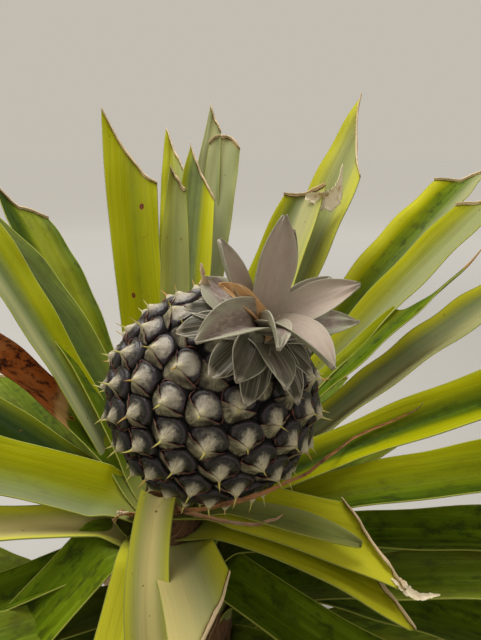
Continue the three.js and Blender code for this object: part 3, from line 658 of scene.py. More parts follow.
# The ways in which a foot comes in to the stem, outwards and up, and how hard it is pulled at each end.
STEM_LANDING = (-0.1, -1.0)
HEAD_LANDING = (-0.5, -0.55)
HEAD_PULLS = (0.9, 0.8)
UNROLL_END = 0.6
WRAP_SPAN = (0.05, 0.75)
LEAST_WRAP_RADIUS = 8

# The lines along a blade crowd towards its margins, by a sine of this share of a quarter turn.
SIDE_CROWDING = 0.92
# How a blade departs from a plain channel, in mm: its rolled and ragged end, the waves in its margins, its
# pleats, and the buckle near its end. Dead ones fold up further, in degrees, and wave more.
CURL_RADIUS = 1.7
CURL_TURN = 125
CURL_ROWS = 9
BARELY_CURLED = 40
BARELY_CURLED_ROWS = 3
JAG_KNOTS = 9
JAG_SIZE = 0.7
CURL_JAG = 0.25
WAVE_LENGTHS = (55, 95)
WAVE_GROWTH = (25, 90)
PLEAT_SPACING = 7.5
PLEAT_GROWTH = (20, 80)
BUCKLE_REACH = 22
BUCKLE_TURN = 5.2
BUCKLE_HEIGHT = 0.9
DEAD_FOLD = 26
DEAD_WAVE = 3.0
# Thickness falls from the midrib to the margins by this power, and to this share over the last few mm.
THICKNESS_POWER = 2.2
END_THINNESS = 0.55
END_THINNING = 14
# Ripples where a margin is cut back: how they come in along and across the blade, their lift, and the size
# and length of two sines.
FRAY_SPAN = (-4, 8)
FRAY_SIDE = 0.88
FRAY_LIFT = 1.6
FRAY_SIZES = (1.2, 0.8)
FRAY_LENGTHS = (3.1, 1.7)
# A cut margin's border: its slant across the blade, its least width, and how it starts, in mm.
CUT_BORDER_SLANT = 1.6
CUT_BORDER_LEAST = 1.2
CUT_BORDER_OFF = 40
CUT_BORDER_START = 3
# Dried ends: the least strength, and how softly it stops, in mm.
DRY_LEAST = 0.62
DRY_FADE = 5
SPOT_LENGTHENING = 1.5
NO_SPOT = 9
FOOT_SPAN = (-40, 10)
# Silver scales cover the under face, so that less of these colours shows there.
UNDER_GOLD = 0.2
UNDER_SHADE = 0.5
# The finish's own coordinate is moved on by these for each blade, so that no two blades look alike.
BLADE_SHIFT = (37.0, 11.0)
UNDER_SHIFT = 5.5

BLADE_DEFAULTS = {
    "sweep": 0, "roll": 0, "ring": LEAF_RING_RADIUS, "cut_cw": 0, "cut_acw": 0, "hollow": 0,
    "waist": LEAF_WAIST, "sheath": SHEATH_DROP, "clasp": SHEATH_HALF_WIDTH, "inward": False,
    "curl": (CURL_RADIUS, CURL_TURN), "thickness": (2.4, 0.8), "wave": 1.1, "pleat": 0.22, "pointed": 0,
    "gold": (0.3, 0.3, 0.3), "frost": (0, 0, 0), "shade": (0, 0, 0), "dry_end": 0, "straw": 20,
    "spots": [], "cut_margin": (1, 1e4),
}


def width_share(share, waist):
    """Half the blade's width as a share of its widest half: it eases up from the waist, then falls to the
    tip as a power of a sine, and is never under the narrowest share."""
    body = mix(waist, 1, ease(WAIST_START, WAIST_START + WAIST_LENGTH, share))
    tip = np.clip((1 - share) / TIP_SHARE, 0, 1)
    return np.maximum(body * np.sin(np.pi / 2 * tip) ** TIP_ROUNDING, NARROWEST_SHARE)


def lift_share(side):
    """How high the channel is at a place across it: 0 at the midrib and 1 at the margins, with a rounded
    bottom: (sqrt(side^2 + k^2) - k) / (sqrt(1 + k^2) - k)."""
    k = CHANNEL_ROUNDING
    return (np.hypot(side, k) - k) / (math.hypot(1, k) - k)


def midrib(leaf):
    """Places and directions along a leaf's midrib. Its slope runs evenly from rise to rise_end and its
    azimuth turns by sweep times a power of share, and the places are the running sum of its direction."""
    share = np.linspace(0, 1, MARCH_STEPS + 1)
    slope = np.radians(mix(leaf["rise"], leaf["rise_end"], share))[:, None]
    heading = np.radians(leaf["azimuth"] + leaf["sweep"] * share ** SWEEP_POWER)
    level = np.stack([np.cos(heading), np.sin(heading), 0 * heading], -1)
    along = level * np.cos(slope) + UP * np.sin(slope)
    flat = np.cross(UP, level)
    roll = math.radians(leaf["roll"])
    across = flat * math.cos(roll) + np.cross(along, flat) * math.sin(roll)
    turn = math.radians(leaf["azimuth"])
    start = np.array([math.cos(turn) * leaf["ring"], math.sin(turn) * leaf["ring"], leaf["root"]])
    steps = np.concatenate([[np.zeros(3)], (along[1:] + along[:-1]) / 2])
    place = start + np.cumsum(steps, 0) * leaf["length"] / MARCH_STEPS
    return place, along, across, np.cross(along, across)


def sampled(stations, distance, length):
    """The midrib's places and directions at the given distances, straight on past its end."""
    position = np.clip(distance / length, 0, 1) * MARCH_STEPS
    low = np.minimum(position.astype(int), MARCH_STEPS - 1)
    between = (position - low)[..., None]
    place, along, across, upward = (mix(row[low], row[low + 1], between) for row in stations)
    over = np.maximum(distance - length, 0)[..., None]
    return place + along * over, along, across, upward


def sheath_grid(leaf, q, side, half):
    """The clasping foot of a blade, q from 0 at the blade's start to 1 at its attachment. In the plane of
    its azimuth a Hermite curve carries the midrib down along the stem, or in over the stem's head, and the
    section changes from the blade's channel to an arc round the stem's axis of the same width."""
    rise = math.radians(leaf["rise"])
    start = np.array([leaf["ring"], leaf["root"]])
    drop = leaf["sheath"]
    pull = SHEATH_PULL * drop / SHEATH_DROP
    go = np.array([-math.cos(rise), -math.sin(rise)]) * pull
    if leaf["inward"]:
        height = leaf["root"] - HEAD_DROP - HEAD_DROP_SHARE * max(math.tan(rise), 0)
        radius = np.interp(height, STEM_OUTLINE[:, 1], STEM_OUTLINE[:, 0]) - HEAD_INSET
        finish = np.array([radius, height])
        land = np.array(HEAD_LANDING) * pull * HEAD_PULLS[1]
        go = go * HEAD_PULLS[0]
    else:
        finish = np.array([leaf["ring"] - SHEATH_INSET, leaf["root"] - drop])
        land = np.array(STEM_LANDING) * pull
    h = q[:, None]
    curve = ((2 * h ** 3 - 3 * h ** 2 + 1) * start + (h ** 3 - 2 * h ** 2 + h) * go
             + (3 * h ** 2 - 2 * h ** 3) * finish + (h ** 3 - h ** 2) * land)
    slope = unit(-((6 * h ** 2 - 6 * h) * start + (3 * h ** 2 - 4 * h + 1) * go
                   + (6 * h - 6 * h ** 2) * finish + (3 * h ** 2 - 2 * h) * land))
    turn = math.radians(leaf["azimuth"])
    level = np.array([math.cos(turn), math.sin(turn), 0])
    flat = np.cross(UP, level)
    centre = curve[:, :1] * level + curve[:, 1:] * UP
    along = slope[:, :1] * level + slope[:, 1:] * UP
    roll = math.radians(leaf["roll"]) * (1 - ease(0, UNROLL_END, h))
    across = flat * np.cos(roll) + np.cross(along, flat) * np.sin(roll)
    upward = np.cross(along, across)
    fold = math.radians(leaf["fold"])
    wide = mix(half, leaf["clasp"], ease(0, 1, q))[:, None, None]
    channel = (centre[:, None] + across[:, None] * wide * side[None, :, None] * math.cos(fold)
               + upward[:, None] * wide * lift_share(side)[None, :, None] * math.sin(fold))
    radius = curve[:, 0][:, None]
    around = turn + wide[..., 0] * side[None, :] / np.maximum(radius, LEAST_WRAP_RADIUS)
    wrapped = np.stack([np.cos(around) * radius, np.sin(around) * radius,
                        np.broadcast_to(curve[:, 1][:, None], around.shape)], -1)
    return mix(channel, wrapped, ease(*WRAP_SPAN, q)[:, None, None])


def blade_ends(leaf, side, chance):
    """Where each line along a blade stops being straight, and where its rolled end stops: the length less
    the cuts, mix(cut_cw, cut_acw, share) and hollow * 4 share (1 - share), with a random jag."""
    share = (side + 1) / 2
    end = (leaf["length"] - mix(leaf["cut_cw"], leaf["cut_acw"], share)
           - leaf["hollow"] * 4 * share * (1 - share))
    jag = np.interp(side, np.linspace(-1, 1, JAG_KNOTS), chance.uniform(-1, 1, JAG_KNOTS))
    radius, turn = leaf["curl"]
    turn_end = np.radians(turn) * (1 + CURL_JAG * jag)
    straight = end - radius + JAG_SIZE * jag
    return straight, straight + radius * turn_end


def blade_rise(leaf, sides, distance, straight, chance, dead):
    """How far a blade stands up from a plain channel: sines along each margin, cosines across it for the
    pleats, a sine across it near its end for the buckle, and short ripples where a margin is cut back."""
    phase = chance.uniform(0, 2 * np.pi, 6)
    wave_length = chance.uniform(*WAVE_LENGTHS, 2)
    grown = ease(*WAVE_GROWTH, distance) * leaf["wave"] * (DEAD_WAVE if dead else 1.0)
    wave = grown * (ease(0, 1, sides) ** 2 * np.sin(2 * np.pi * distance / wave_length[0] + phase[0])
                    + ease(0, 1, -sides) ** 2 * np.sin(2 * np.pi * distance / wave_length[1] + phase[1]))
    pleats = np.cos(2 * np.pi * sides * leaf["width"] / 2 / PLEAT_SPACING + phase[2]) * (1 - sides ** 4)
    buckle = (bell(distance, straight[None, :], BUCKLE_REACH)
              * np.sin(BUCKLE_TURN * sides + phase[3]) * BUCKLE_HEIGHT)
    rise = wave + leaf["pleat"] * pleats * ease(*PLEAT_GROWTH, distance) + buckle
    cut_side, cut_start = leaf["cut_margin"]
    frayed = (ease(cut_start + FRAY_SPAN[0], cut_start + FRAY_SPAN[1], distance)
              * ease(FRAY_SIDE, 1, sides * cut_side))
    return rise + frayed * (FRAY_LIFT + FRAY_SIZES[0] * np.sin(distance / FRAY_LENGTHS[0])
                            + FRAY_SIZES[1] * np.sin(distance / FRAY_LENGTHS[1] + 1))


def blade_fields(leaf, number, side, half, distance, to_end):
    """What the finish reads at each point, on the upper and the under face: own coordinates in mm, the
    distances from the margin, the cut and the nearest spot, and the strengths of its colours."""
    sides = np.broadcast_to(side[None, :], distance.shape)
    plain = np.zeros_like(distance)
    gold, frost, shade = (
        np.interp(side, np.linspace(-1, 1, len(leaf[key])), leaf[key])[None, :] + plain
        for key in ("gold", "frost", "shade"))
    dry_end = leaf["dry_end"]
    fade = min(DRY_FADE, dry_end / 2 + 0.1)
    to_tip = leaf["length"] - distance if leaf["pointed"] else to_end
    dry = (mix(DRY_LEAST, 1, ease(dry_end, dry_end - leaf["straw"], to_tip))
           * ease(dry_end + fade, dry_end - fade, to_tip) * ease(0, 1, 4 * dry_end))
    across_mm = half * sides
    own = np.stack([across_mm + BLADE_SHIFT[0] * number, distance, plain + BLADE_SHIFT[1] * number], -1)
    spot = np.stack([plain + NO_SPOT, plain, plain], -1)
    for at, where, size in leaf["spots"]:
        offset = np.stack([(distance - at) / size / SPOT_LENGTHENING,
                           (across_mm - where * half) / size, plain], -1)
        nearer = (np.linalg.norm(offset, axis=-1) < np.linalg.norm(spot, axis=-1))[..., None]
        spot = np.where(nearer, offset, spot)
    rim = half * (1 - np.abs(sides))
    cut_side, cut_start = leaf["cut_margin"]
    beside = (CUT_BORDER_SLANT * half * (1 - sides * cut_side)
              + CUT_BORDER_OFF * ease(cut_start + CUT_BORDER_START, cut_start - CUT_BORDER_START, distance))
    cut = np.minimum(to_end, beside + CUT_BORDER_LEAST) + leaf["pointed"]
    foot = 1 - ease(*FOOT_SPAN, distance)
    return {
        "blade": (own, own + [0, 0, UNDER_SHIFT]), "under": (plain, plain + 1), "rim": (rim, rim),
        "cut": (cut, cut), "dry": (dry, dry), "gold": (gold, gold * UNDER_GOLD), "frost": (frost, plain),
        "foot": (foot, foot), "spot": (spot, spot), "shade": (shade, shade * UNDER_SHADE),
    }


def blade(leaf, number, rows=84, columns=29, dead=False):
    """A leaf as a closed thin shell. Down the blade the section is its channel, lifted by the fold round a
    rounded bottom. Its last few mm roll over on a circle, place + along * r sin(angle) + up * r (1 -
    cos(angle)). The under face lies the thickness below, mix(margin, middle, 1 - side^power)."""
    leaf = {**BLADE_DEFAULTS, "uncut": leaf["length"] * UNCUT_RATIO, **leaf}
    chance = np.random.default_rng(SEED + number)
    side = (np.sin(np.linspace(-1, 1, columns) * np.pi / 2 * SIDE_CROWDING)
            / math.sin(np.pi / 2 * SIDE_CROWDING))
    straight, total = blade_ends(leaf, side, chance)
    radius, turn = leaf["curl"]
    curl_rows = CURL_ROWS if turn > BARELY_CURLED else BARELY_CURLED_ROWS
    steps = np.linspace(0, 1, rows - curl_rows)
    tail = np.linspace(0, 1, curl_rows + 1)[1:]
    distance = np.concatenate([steps[:, None] * straight[None, :],
                               straight[None, :] + tail[:, None] * (total - straight)[None, :]])
    flat_distance = np.minimum(distance, straight[None, :])
    place, along, across, upward = sampled(midrib(leaf), flat_distance, leaf["length"])
    half = leaf["width"] / 2 * width_share(flat_distance / leaf["uncut"], leaf["waist"])
    fold = np.radians(leaf["fold"])
    if dead:
        fold = fold + np.radians(DEAD_FOLD) * ease(0.1, 1, distance / leaf["length"])
    sides = np.broadcast_to(side[None, :], distance.shape)
    rise = blade_rise(leaf, sides, distance, straight, chance, dead)
    spread = (half * sides * np.cos(fold))[..., None]
    raised = (half * lift_share(sides) * np.sin(fold) + rise)[..., None]
    surface = place + across * spread + upward * raised
    angle = np.maximum((distance - straight[None, :]) / radius, 0)[..., None]
    surface = surface + along * radius * np.sin(angle) + upward * radius * (1 - np.cos(angle))

    q = np.linspace(1, 0, SHEATH_ROWS, endpoint=False)
    foot_half = half[0, 0]
    surface = np.concatenate([sheath_grid(leaf, q, side, foot_half), surface])
    distance = np.concatenate([-q[:, None] * leaf["sheath"] + 0 * side[None, :], distance])
    half = np.concatenate([mix(foot_half, leaf["clasp"], ease(0, 1, q))[:, None] + 0 * side, half])
    to_end = total[None, :] - distance
    normal = unit(np.cross(np.gradient(surface, axis=0), np.gradient(surface, axis=1)))
    sides = np.broadcast_to(side[None, :], distance.shape)
    middle, margin = leaf["thickness"]
    thick = (mix(margin, middle, (1 - np.abs(sides) ** THICKNESS_POWER))
             * mix(END_THINNESS, 1, ease(0, END_THINNING, to_end)))
    under = surface - normal * thick[..., None]
    return shell(surface, under, blade_fields(leaf, number, side, half, distance, to_end))


for number, (*values, more) in enumerate(LEAVES):
    leaf = dict(zip(LEAF_COLUMNS, values), **more)
    if leaf["root"] >= HEAD_LEAST_ROOT and "ring" not in more:
        clasp = HEAD_CLASP - HEAD_CLASP_TAPER * (leaf["root"] - HEAD_LEAST_ROOT)
        leaf = {**leaf, "inward": True, "sheath": HEAD_SHEATH, "clasp": clasp}
    add_piece(leaf["name"], blade(leaf, number), living_leaf, [leaf["name"]])


def whorl_blade(whorl, index):
    """One blade of a whorl, and whether it is dead, as the last ones are. Two in four are cut shorter at
    one margin, and the others at the other."""
    rise = whorl["rise"] - whorl["rise_step"] * index
    leaf = {
        "azimuth": whorl["azimuth"] + GOLDEN_DEGREES * index,
        "root": whorl["root"] - whorl["root_step"] * index,
        "rise": rise, "rise_end": rise - whorl["droop"],
        "length": whorl["length"] - whorl["length_step"] * index,
        "width": whorl["width"], "fold": LOWER_FOLD,
        whorl["cuts"][index % 4 // 2]: LOWER_CUT,
        "gold": whorl["gold"], "frost": whorl["frost"],
    }
    dead = index >= whorl["count"] - whorl["dead"]
    return blade(leaf, whorl["seed"] + index, whorl["rows"], whorl["columns"], dead), dead


lower_green, lower_dead = [], []
for index in range(LOWER["count"]):
    shape, dead = whorl_blade(LOWER, index)
    if index % 2:
        (lower_dead if dead else lower_green).append(shape)
        continue
    finish, slot = (dead_leaf, "dead_leaf") if dead else (living_leaf, "old_green_leaf")
    name = f"lower_leaf_{index // 2 + 1}"
    add_piece(name, shape, finish, [name])
for index in range(FILLING["count"]):
    shape, dead = whorl_blade(FILLING, index)
    (lower_dead if dead else lower_green).append(shape)
add_piece("lower_leaf_mass", join(lower_green), living_leaf, ["lower_leaf_mass"])
add_piece("lower_leaf_mass_dead", join(lower_dead), dead_leaf, ["lower_leaf_mass"])

skirt = []
for index in range(SKIRT_LEAF_COUNT):
    root = SKIRT_TOP_ROOT - SKIRT_ROOT_STEP * index
    mean_slope = math.radians(SKIRT_DROOP / 2 - SKIRT_RISE)
    leaf = {
        "azimuth": SKIRT_START_AZIMUTH + GOLDEN_DEGREES * index, "root": root,
        "rise": SKIRT_RISE, "rise_end": SKIRT_RISE - SKIRT_DROOP,
        "length": (root - SKIRT_GROUND_CLEARANCE) / math.sin(mean_slope),
        "width": SKIRT_WIDTH, "fold": SKIRT_FOLD, "ring": SKIRT_RING,
        "sweep": SKIRT_SWEEP if index % 2 else -SKIRT_SWEEP, "sheath": SKIRT_SHEATH,
    }
    skirt.append(blade(leaf, SKIRT_SEED + index, rows=60, columns=25, dead=True))
add_piece("dead_leaf_skirt", join(skirt), dead_leaf, ["dead_leaf_skirt"])


# Fruit. Its own frame has the crown's axis as Z.
FRUIT_CENTRE = np.array([31.0, -12.0, 453.0])
FRUIT_LEAN = unit(np.array([0.39, -0.48, 0.785]))
FRUIT_X = unit(np.cross([0, 1, 0], FRUIT_LEAN))
FRUIT_Y = np.cross(FRUIT_LEAN, FRUIT_X)
FRUIT_BASIS = np.stack([FRUIT_X, FRUIT_Y, FRUIT_LEAN])
FRUIT_RADIUS = 60
FRUIT_HALF_LENGTH = 58
BED_DEPTH = 5.5
EYE_COUNT = 150
EYE_START_DEGREES = 126
# An eye's outline reaches a little past half way to its neighbours, with softly rounded corners.
OUTLINE_REACH = 1.06
OUTLINE_POWER = 8


def from_fruit(points):
    """Points of the fruit's own frame, in the plant's frame."""
    return FRUIT_CENTRE + points @ FRUIT_BASIS


BED = np.array([FRUIT_RADIUS - BED_DEPTH, FRUIT_RADIUS - BED_DEPTH, FRUIT_HALF_LENGTH - BED_DEPTH])
eyes = np.arange(EYE_COUNT)
eye_height = 1 - (2 * eyes + 1) / EYE_COUNT
eye_turn = math.radians(EYE_START_DEGREES) - eyes * GOLDEN_ANGLE
eye_level = np.sqrt(1 - eye_height ** 2)
eye_way = np.stack([eye_level * np.cos(eye_turn), eye_level * np.sin(eye_turn), eye_height], -1)
eye_place = eye_way * BED
eye_out = unit(eye_way / BED)
eye_up = unit(UP - eye_out * eye_out[:, 2:])
eye_side = np.cross(eye_up, eye_out)


def on_fruit(which, x, y, height):
    """Points x to the side of eyes and y towards the crown, pushed back onto the bed's ellipsoid along the
    line to the fruit's centre, then raised by height along the ellipsoid's normal there."""
    spread = [np.asarray(value)[..., None] for value in (x, y, height)]
    shape = (len(which),) + (1,) * (np.ndim(x) - 1) + (3,)
    flat = (eye_place[which].reshape(shape) + eye_side[which].reshape(shape) * spread[0]
            + eye_up[which].reshape(shape) * spread[1])
    surface = flat / np.linalg.norm(flat / BED, axis=-1, keepdims=True)
    return surface + unit(surface / BED ** 2) * spread[2]


def outline(which, angle):
    """How far each eye's cell reaches at an angle from its side direction: the smooth least of the half
    distances to its neighbours, reach (sum of (2 cos(angle - theirs) / distance)^power)^(-1/power)."""
    gap = eye_place[None, :, :] - eye_place[which][:, None, :]
    distance = np.linalg.norm(gap, axis=-1)
    # An eye is no neighbour of its own.
    distance[distance < 1] = 1e6
    toward = np.arctan2((gap * eye_up[which][:, None]).sum(-1), (gap * eye_side[which][:, None]).sum(-1))
    turn = np.cos(angle[..., None] - toward[:, None, :])
    reach = (2 * np.clip(turn, 0, 1) / distance[:, None, :]) ** OUTLINE_POWER
    return OUTLINE_REACH * reach.sum(-1) ** (-1 / OUTLINE_POWER)


# The eyes under the crown and round the stalk are left out.
CROWN_CLEARANCE = 11
STALK_CLEARANCE = 15
off_axis = np.linalg.norm(eye_place[:, :2], axis=-1)
shown_eyes = np.where(eye_height > 0, off_axis > CROWN_CLEARANCE, off_axis > STALK_CLEARANCE)
shown = eyes[shown_eyes]
eye_chance = np.random.default_rng(SEED)
eye_size = eye_chance.uniform(0.93, 1.04, EYE_COUNT)
eye_swell = eye_chance.uniform(0.9, 1.1, EYE_COUNT)

# Heights of an eye over the bed, in mm: its shield, the plain slope to its rim, and the peak at its spine.
SHIELD_HEIGHT = 4.4
SHIELD_STEEPNESS = 3.4
SHIELD_ROUNDING = 0.6
SLOPE_HEIGHT = 3.4
PEAK_HEIGHT = 3.0
PEAK_WIDTH = 2.6
PEAK_POWER = 1.1
FAN_HEIGHT = 0.16
FAN_COUNT = 11
DIMPLE_APART = 3.4
DIMPLE_UP = 0.4
DIMPLE_WIDTH = 1.6
RIDGE_HEIGHT = 0.7
GROOVE_DEPTH = 0.75
WEDGE_HEIGHT = 0.5
DIMPLE_DEPTH = 0.6
# Where the ridge and the groove inside it run, as shares of the way out to the shield's rim.
RIDGE_SHARE = 0.81
GROOVE_SHARE = 0.64
SPOKES = 28
EYE_RINGS = np.array([0.0, 0.1, 0.2, 0.32, 0.45, 0.57, 0.66, 0.72, 0.78, 0.84, 0.90, 0.96, 1.0])
SPINE_ROOT = -2.4
SHIELD_TOP_SHARE = 0.94
SHIELD_SIDE_SHARE = 0.97
SHIELD_FOOT = 5.2
EYE_SINK = 1.2
BRACT_RINGS = np.array([0.04, 0.18, 0.34, 0.5, 0.66, 0.8, 0.92, 1.03, 1.14])
BRACT_SPOKES = 19
BRACT_SEED = 9
# Azimuths round the spine, in degrees, between which a bract's first and last rays are drawn.
BRACT_FIRST = (178, 192)
BRACT_LAST = (348, 362)
BRACT_LIFT = 0.35
BRACT_RIDGE = 0.17
BRACT_EDGE = 0.8
BRACT_THICKNESS = 0.45


def lowness(which):
    """1 for the eyes of the fruit's shaded lower end, and 0 for those above its upper third."""
    return ease(20, -34, eye_place[which][:, 2])[:, None, None]


def eye_points(which, reach, angle):
    """Places on eyes in a polar grid whose middle is the spine's root: mix(root, outline, reach)."""
    far = outline(which, angle) * eye_size[which][:, None]
    far = far * mix(1.0, 0.93, ease(-0.5, 0.3, np.sin(angle)))
    x = reach * (far * np.cos(angle))[:, None, :]
    y = mix(SPINE_ROOT, (far * np.sin(angle))[:, None, :], reach)
    return x, y


def shield_reach(which, x, y):
    """1 on the rim of an eye's shield, an ellipse from the top of its cell to a little below its spine, and
    less inside it: sqrt((x / a)^2 + ((y - middle) / b)^2)."""
    ways = np.broadcast_to(np.array([0, 0.5, 1.0]) * np.pi, (len(which), 3))
    right, top, left = (outline(which, ways) * eye_size[which][:, None]).T
    top = top * SHIELD_TOP_SHARE
    wide = SHIELD_SIDE_SHARE * np.minimum(right, left)[:, None, None]
    tall = ((top + SHIELD_FOOT) / 2)[:, None, None]
    middle = ((top - SHIELD_FOOT) / 2)[:, None, None]
    return np.hypot(x / wide, (y - middle) / tall)


def eye_height_at(x, y, reach, angle, swell, shield_share):
    """Height of an eye's skin over the bed: the greater of an even slope, 1 - reach, and an oval shield
    with steep flanks, (1 - share^steepness)^rounding, with a ridge round it and a groove inside that. It
    is drawn up to a peak at the spine, exp(-(distance / width)^power), with a wedge above it, a dimple each
    side of the wedge, and fine ridges round the spine."""
    crownward = ease(-0.42, 0.2, np.sin(angle))
    from_root = np.hypot(x, y - SPINE_ROOT)
    shield = SHIELD_HEIGHT * np.clip(1 - shield_share ** SHIELD_STEEPNESS, 0, 1) ** SHIELD_ROUNDING
    slope = (SLOPE_HEIGHT * (1 - reach) + 0.4) * mix(1, 0.3, crownward)
    shield = np.maximum(shield, slope)
    peak = PEAK_HEIGHT * np.exp(-((from_root / PEAK_WIDTH) ** PEAK_POWER))
    ridge = bell(shield_share, RIDGE_SHARE, 0.09) * crownward
    groove = bell(shield_share, GROOVE_SHARE, 0.07) * crownward
    wedge = bell(x, 0, 0.8 + 0.32 * np.clip(y - SPINE_ROOT, 0, 8)) * ease(4.2, -1.2, y)
    dimples = bell(np.hypot(np.abs(x) - DIMPLE_APART, y - DIMPLE_UP), 0, DIMPLE_WIDTH)
    fan = FAN_HEIGHT * np.cos(angle * FAN_COUNT) * bell(from_root, 3.0, 2.0)
    height = mix(slope, shield, crownward) * swell + peak + fan
    height = (height + RIDGE_HEIGHT * ridge - GROOVE_DEPTH * groove + WEDGE_HEIGHT * wedge
              - DIMPLE_DEPTH * dimples * crownward)
    return height, ridge, dimples


def eye_shape(which):
    """The skins of the eyes: for each a polar grid round its spine, out to just inside its cell."""
    angle = np.linspace(0, 2 * np.pi, SPOKES, endpoint=False)[None, :] + 0 * which[:, None]
    reach = EYE_RINGS[None, :, None] + 0 * angle[:, None, :]
    turn = angle[:, None, :] + 0 * reach
    x, y = eye_points(which, reach, angle)
    share = shield_reach(which, x, y)
    height, ridge, dimples = eye_height_at(x, y, reach, turn, eye_swell[which][:, None, None], share)
    points = on_fruit(which, x, y, height)
    upper = ease(-1, 1, np.sin(turn))
    # Frost fades towards each eye's flanks and reaches further to its left and crownward side: partly the
    # frost itself and partly painted light and shade.
    from_root = np.hypot(x * mix(1.25, 1.05, ease(0, -6, x)), (y - SPINE_ROOT) * mix(1.0, 0.74, upper))
    frost = ease(7.4, 1.6, from_root) - 0.3 * dimples - 0.2 * bell(share, GROOVE_SHARE, 0.06)
    frost = frost + 0.35 * ease(1.0, 1.15, share)
    # Painted light: the eyes on the upper left of the fruit are paler.
    pale = ease(8, 50, eye_place[which][:, 2]) * ease(30, -30, eye_place[which][:, 0])
    pale = pale[:, None, None] * ease(0.82, 0.5, share)
    fields = {
        "eye": np.stack([turn * 9, from_root, which[:, None, None] * 7.0 + 0 * x], -1), "height": height,
        "frost": frost, "ridge": ridge, "bright": ease(3.4, 0.6, from_root), "pale": pale,
        # A near-black line along the upper rim of each shield: painted shade in the crevice there.
        "rim_crevice": ease(0.93, 0.99, share) * ease(1.12, 1.04, share) * ease(-0.3, 0.3, np.sin(turn)),
        "low": lowness(which) * ease(0.6, 4.2, from_root),
    }
    # The skin's rim goes down into the core and is closed there, and its middle points are one.
    sunk = on_fruit(which, x[:, -1:] * 0.9, y[:, -1:] * 0.9, height[:, -1:] * 0 - EYE_SINK)
    points = np.concatenate([points, sunk], 1)
    fields = {name: np.concatenate([value, value[:, -1:]], 1) for name, value in fields.items()}
    rings, spokes = len(EYE_RINGS) + 1, SPOKES
    per_eye = (rings - 1) * spokes + 1
    quads = grid_quads(rings, spokes, closed=True)[:, [0, 3, 2, 1]]
    middle = quads[:spokes]
    middle = np.stack([middle[:, 0] * 0, middle[:, 1], middle[:, 2], middle[:, 2]], -1)
    near = np.arange(spokes // 2 - 1)
    far = spokes - 1 - near
    under = np.stack([near + 1, near, far, far - 1], -1) + (rings - 1) * spokes
    faces = np.concatenate([middle, quads[spokes:], under])
    faces = np.where(faces < spokes, 0, faces - spokes + 1)
    all_faces = (faces[None] + np.arange(len(which))[:, None, None] * per_eye).reshape(-1, 4)

    def packed(values):
        """A grid with its first ring, which is one point, taken once."""
        flat = values.reshape((len(which), rings * spokes) + values.shape[3:])
        return np.concatenate([flat[:, :1], flat[:, spokes:]], 1).reshape((-1,) + values.shape[3:])

    return from_fruit(packed(points)), all_faces, {name: packed(value) for name, value in fields.items()}


def many_shells(upper, under, fields):
    """Closed shells for many small sheets at once, from grids of shape (sheets, rows, columns, 3)."""
    sheets, rows, columns = upper.shape[:3]
    points = np.concatenate([upper, under[:, :, ::-1]], 2).reshape(-1, 3)
    faces = shell_faces(rows, columns)
    all_faces = (faces[None] + np.arange(sheets)[:, None, None] * rows * columns * 2).reshape(-1, 4)
    joined = {}
    for name, values in fields.items():
        halves = np.concatenate([values, values[:, :, ::-1]], 2)
        joined[name] = halves.reshape((-1,) + halves.shape[3:])
    return points, all_faces, joined


def bract_shape(which):
    """The bracts: each a sheet over the lower part of an eye, from a ray out to one side of the spine round
    to the ray on the other side, which lies on the skin and reaches on between the eyes below. Its two
    upper margins stand up, and fine ridges fan out from the spine."""
    chance = np.random.default_rng(SEED + BRACT_SEED)
    first = np.radians(chance.uniform(*BRACT_FIRST, len(which)))[:, None]
    last = np.radians(chance.uniform(*BRACT_LAST, len(which)))[:, None]
    turn = np.linspace(0, 1, BRACT_SPOKES)[None, :]
    angle = mix(first, last, turn)
    reach = BRACT_RINGS[None, :, None] + 0 * angle[:, None, :]
    x, y = eye_points(which, reach, angle)
    turns = turn[:, None, :] + 0 * reach
    skin = eye_height_at(x, y, np.minimum(reach, 1), angle[:, None, :] + 0 * reach,
                         eye_swell[which][:, None, None], shield_reach(which, x, y))[0]
    edge = bell(turns, 0, 0.045) + bell(turns, 1, 0.045)
    ridges = np.cos(angle[:, None, :] * 19 + which[:, None, None]) * ease(0.1, 0.35, reach) * (1 - edge)
    slope = SLOPE_HEIGHT * np.clip(1 - reach, -0.2, 1) + 0.9
    height = np.maximum(skin, slope) + BRACT_LIFT + BRACT_RIDGE * ridges
    curl = 1 + 0.5 * np.sin(reach * 9 + which[:, None, None])
    height = height + BRACT_EDGE * edge * curl * ease(0.05, 0.35, reach)
    upper = on_fruit(which, x, y, height)
    under = on_fruit(which, x, y, height - BRACT_THICKNESS)
    fields = {
        "fan": np.stack([turns * 26, reach * 9, which[:, None, None] * 3.0 + 0 * x], -1),
        "edge": edge * ease(0.1, 0.3, reach), "height": reach, "bright": ease(0.7, 0.05, reach),
        "low": lowness(which) * ease(0.15, 0.5, reach),
    }
    points, faces, flat = many_shells(upper, under, fields)
    return from_fruit(points), faces, flat


SPINE_SIDES = 6
SPINE_SEED = 5
SPINE_LENGTHS = (6.0, 8.8)
SPINE_HALF_WIDTH = 0.62
SPINE_HALF_DEPTH = 0.42
SPINE_START = 5.0


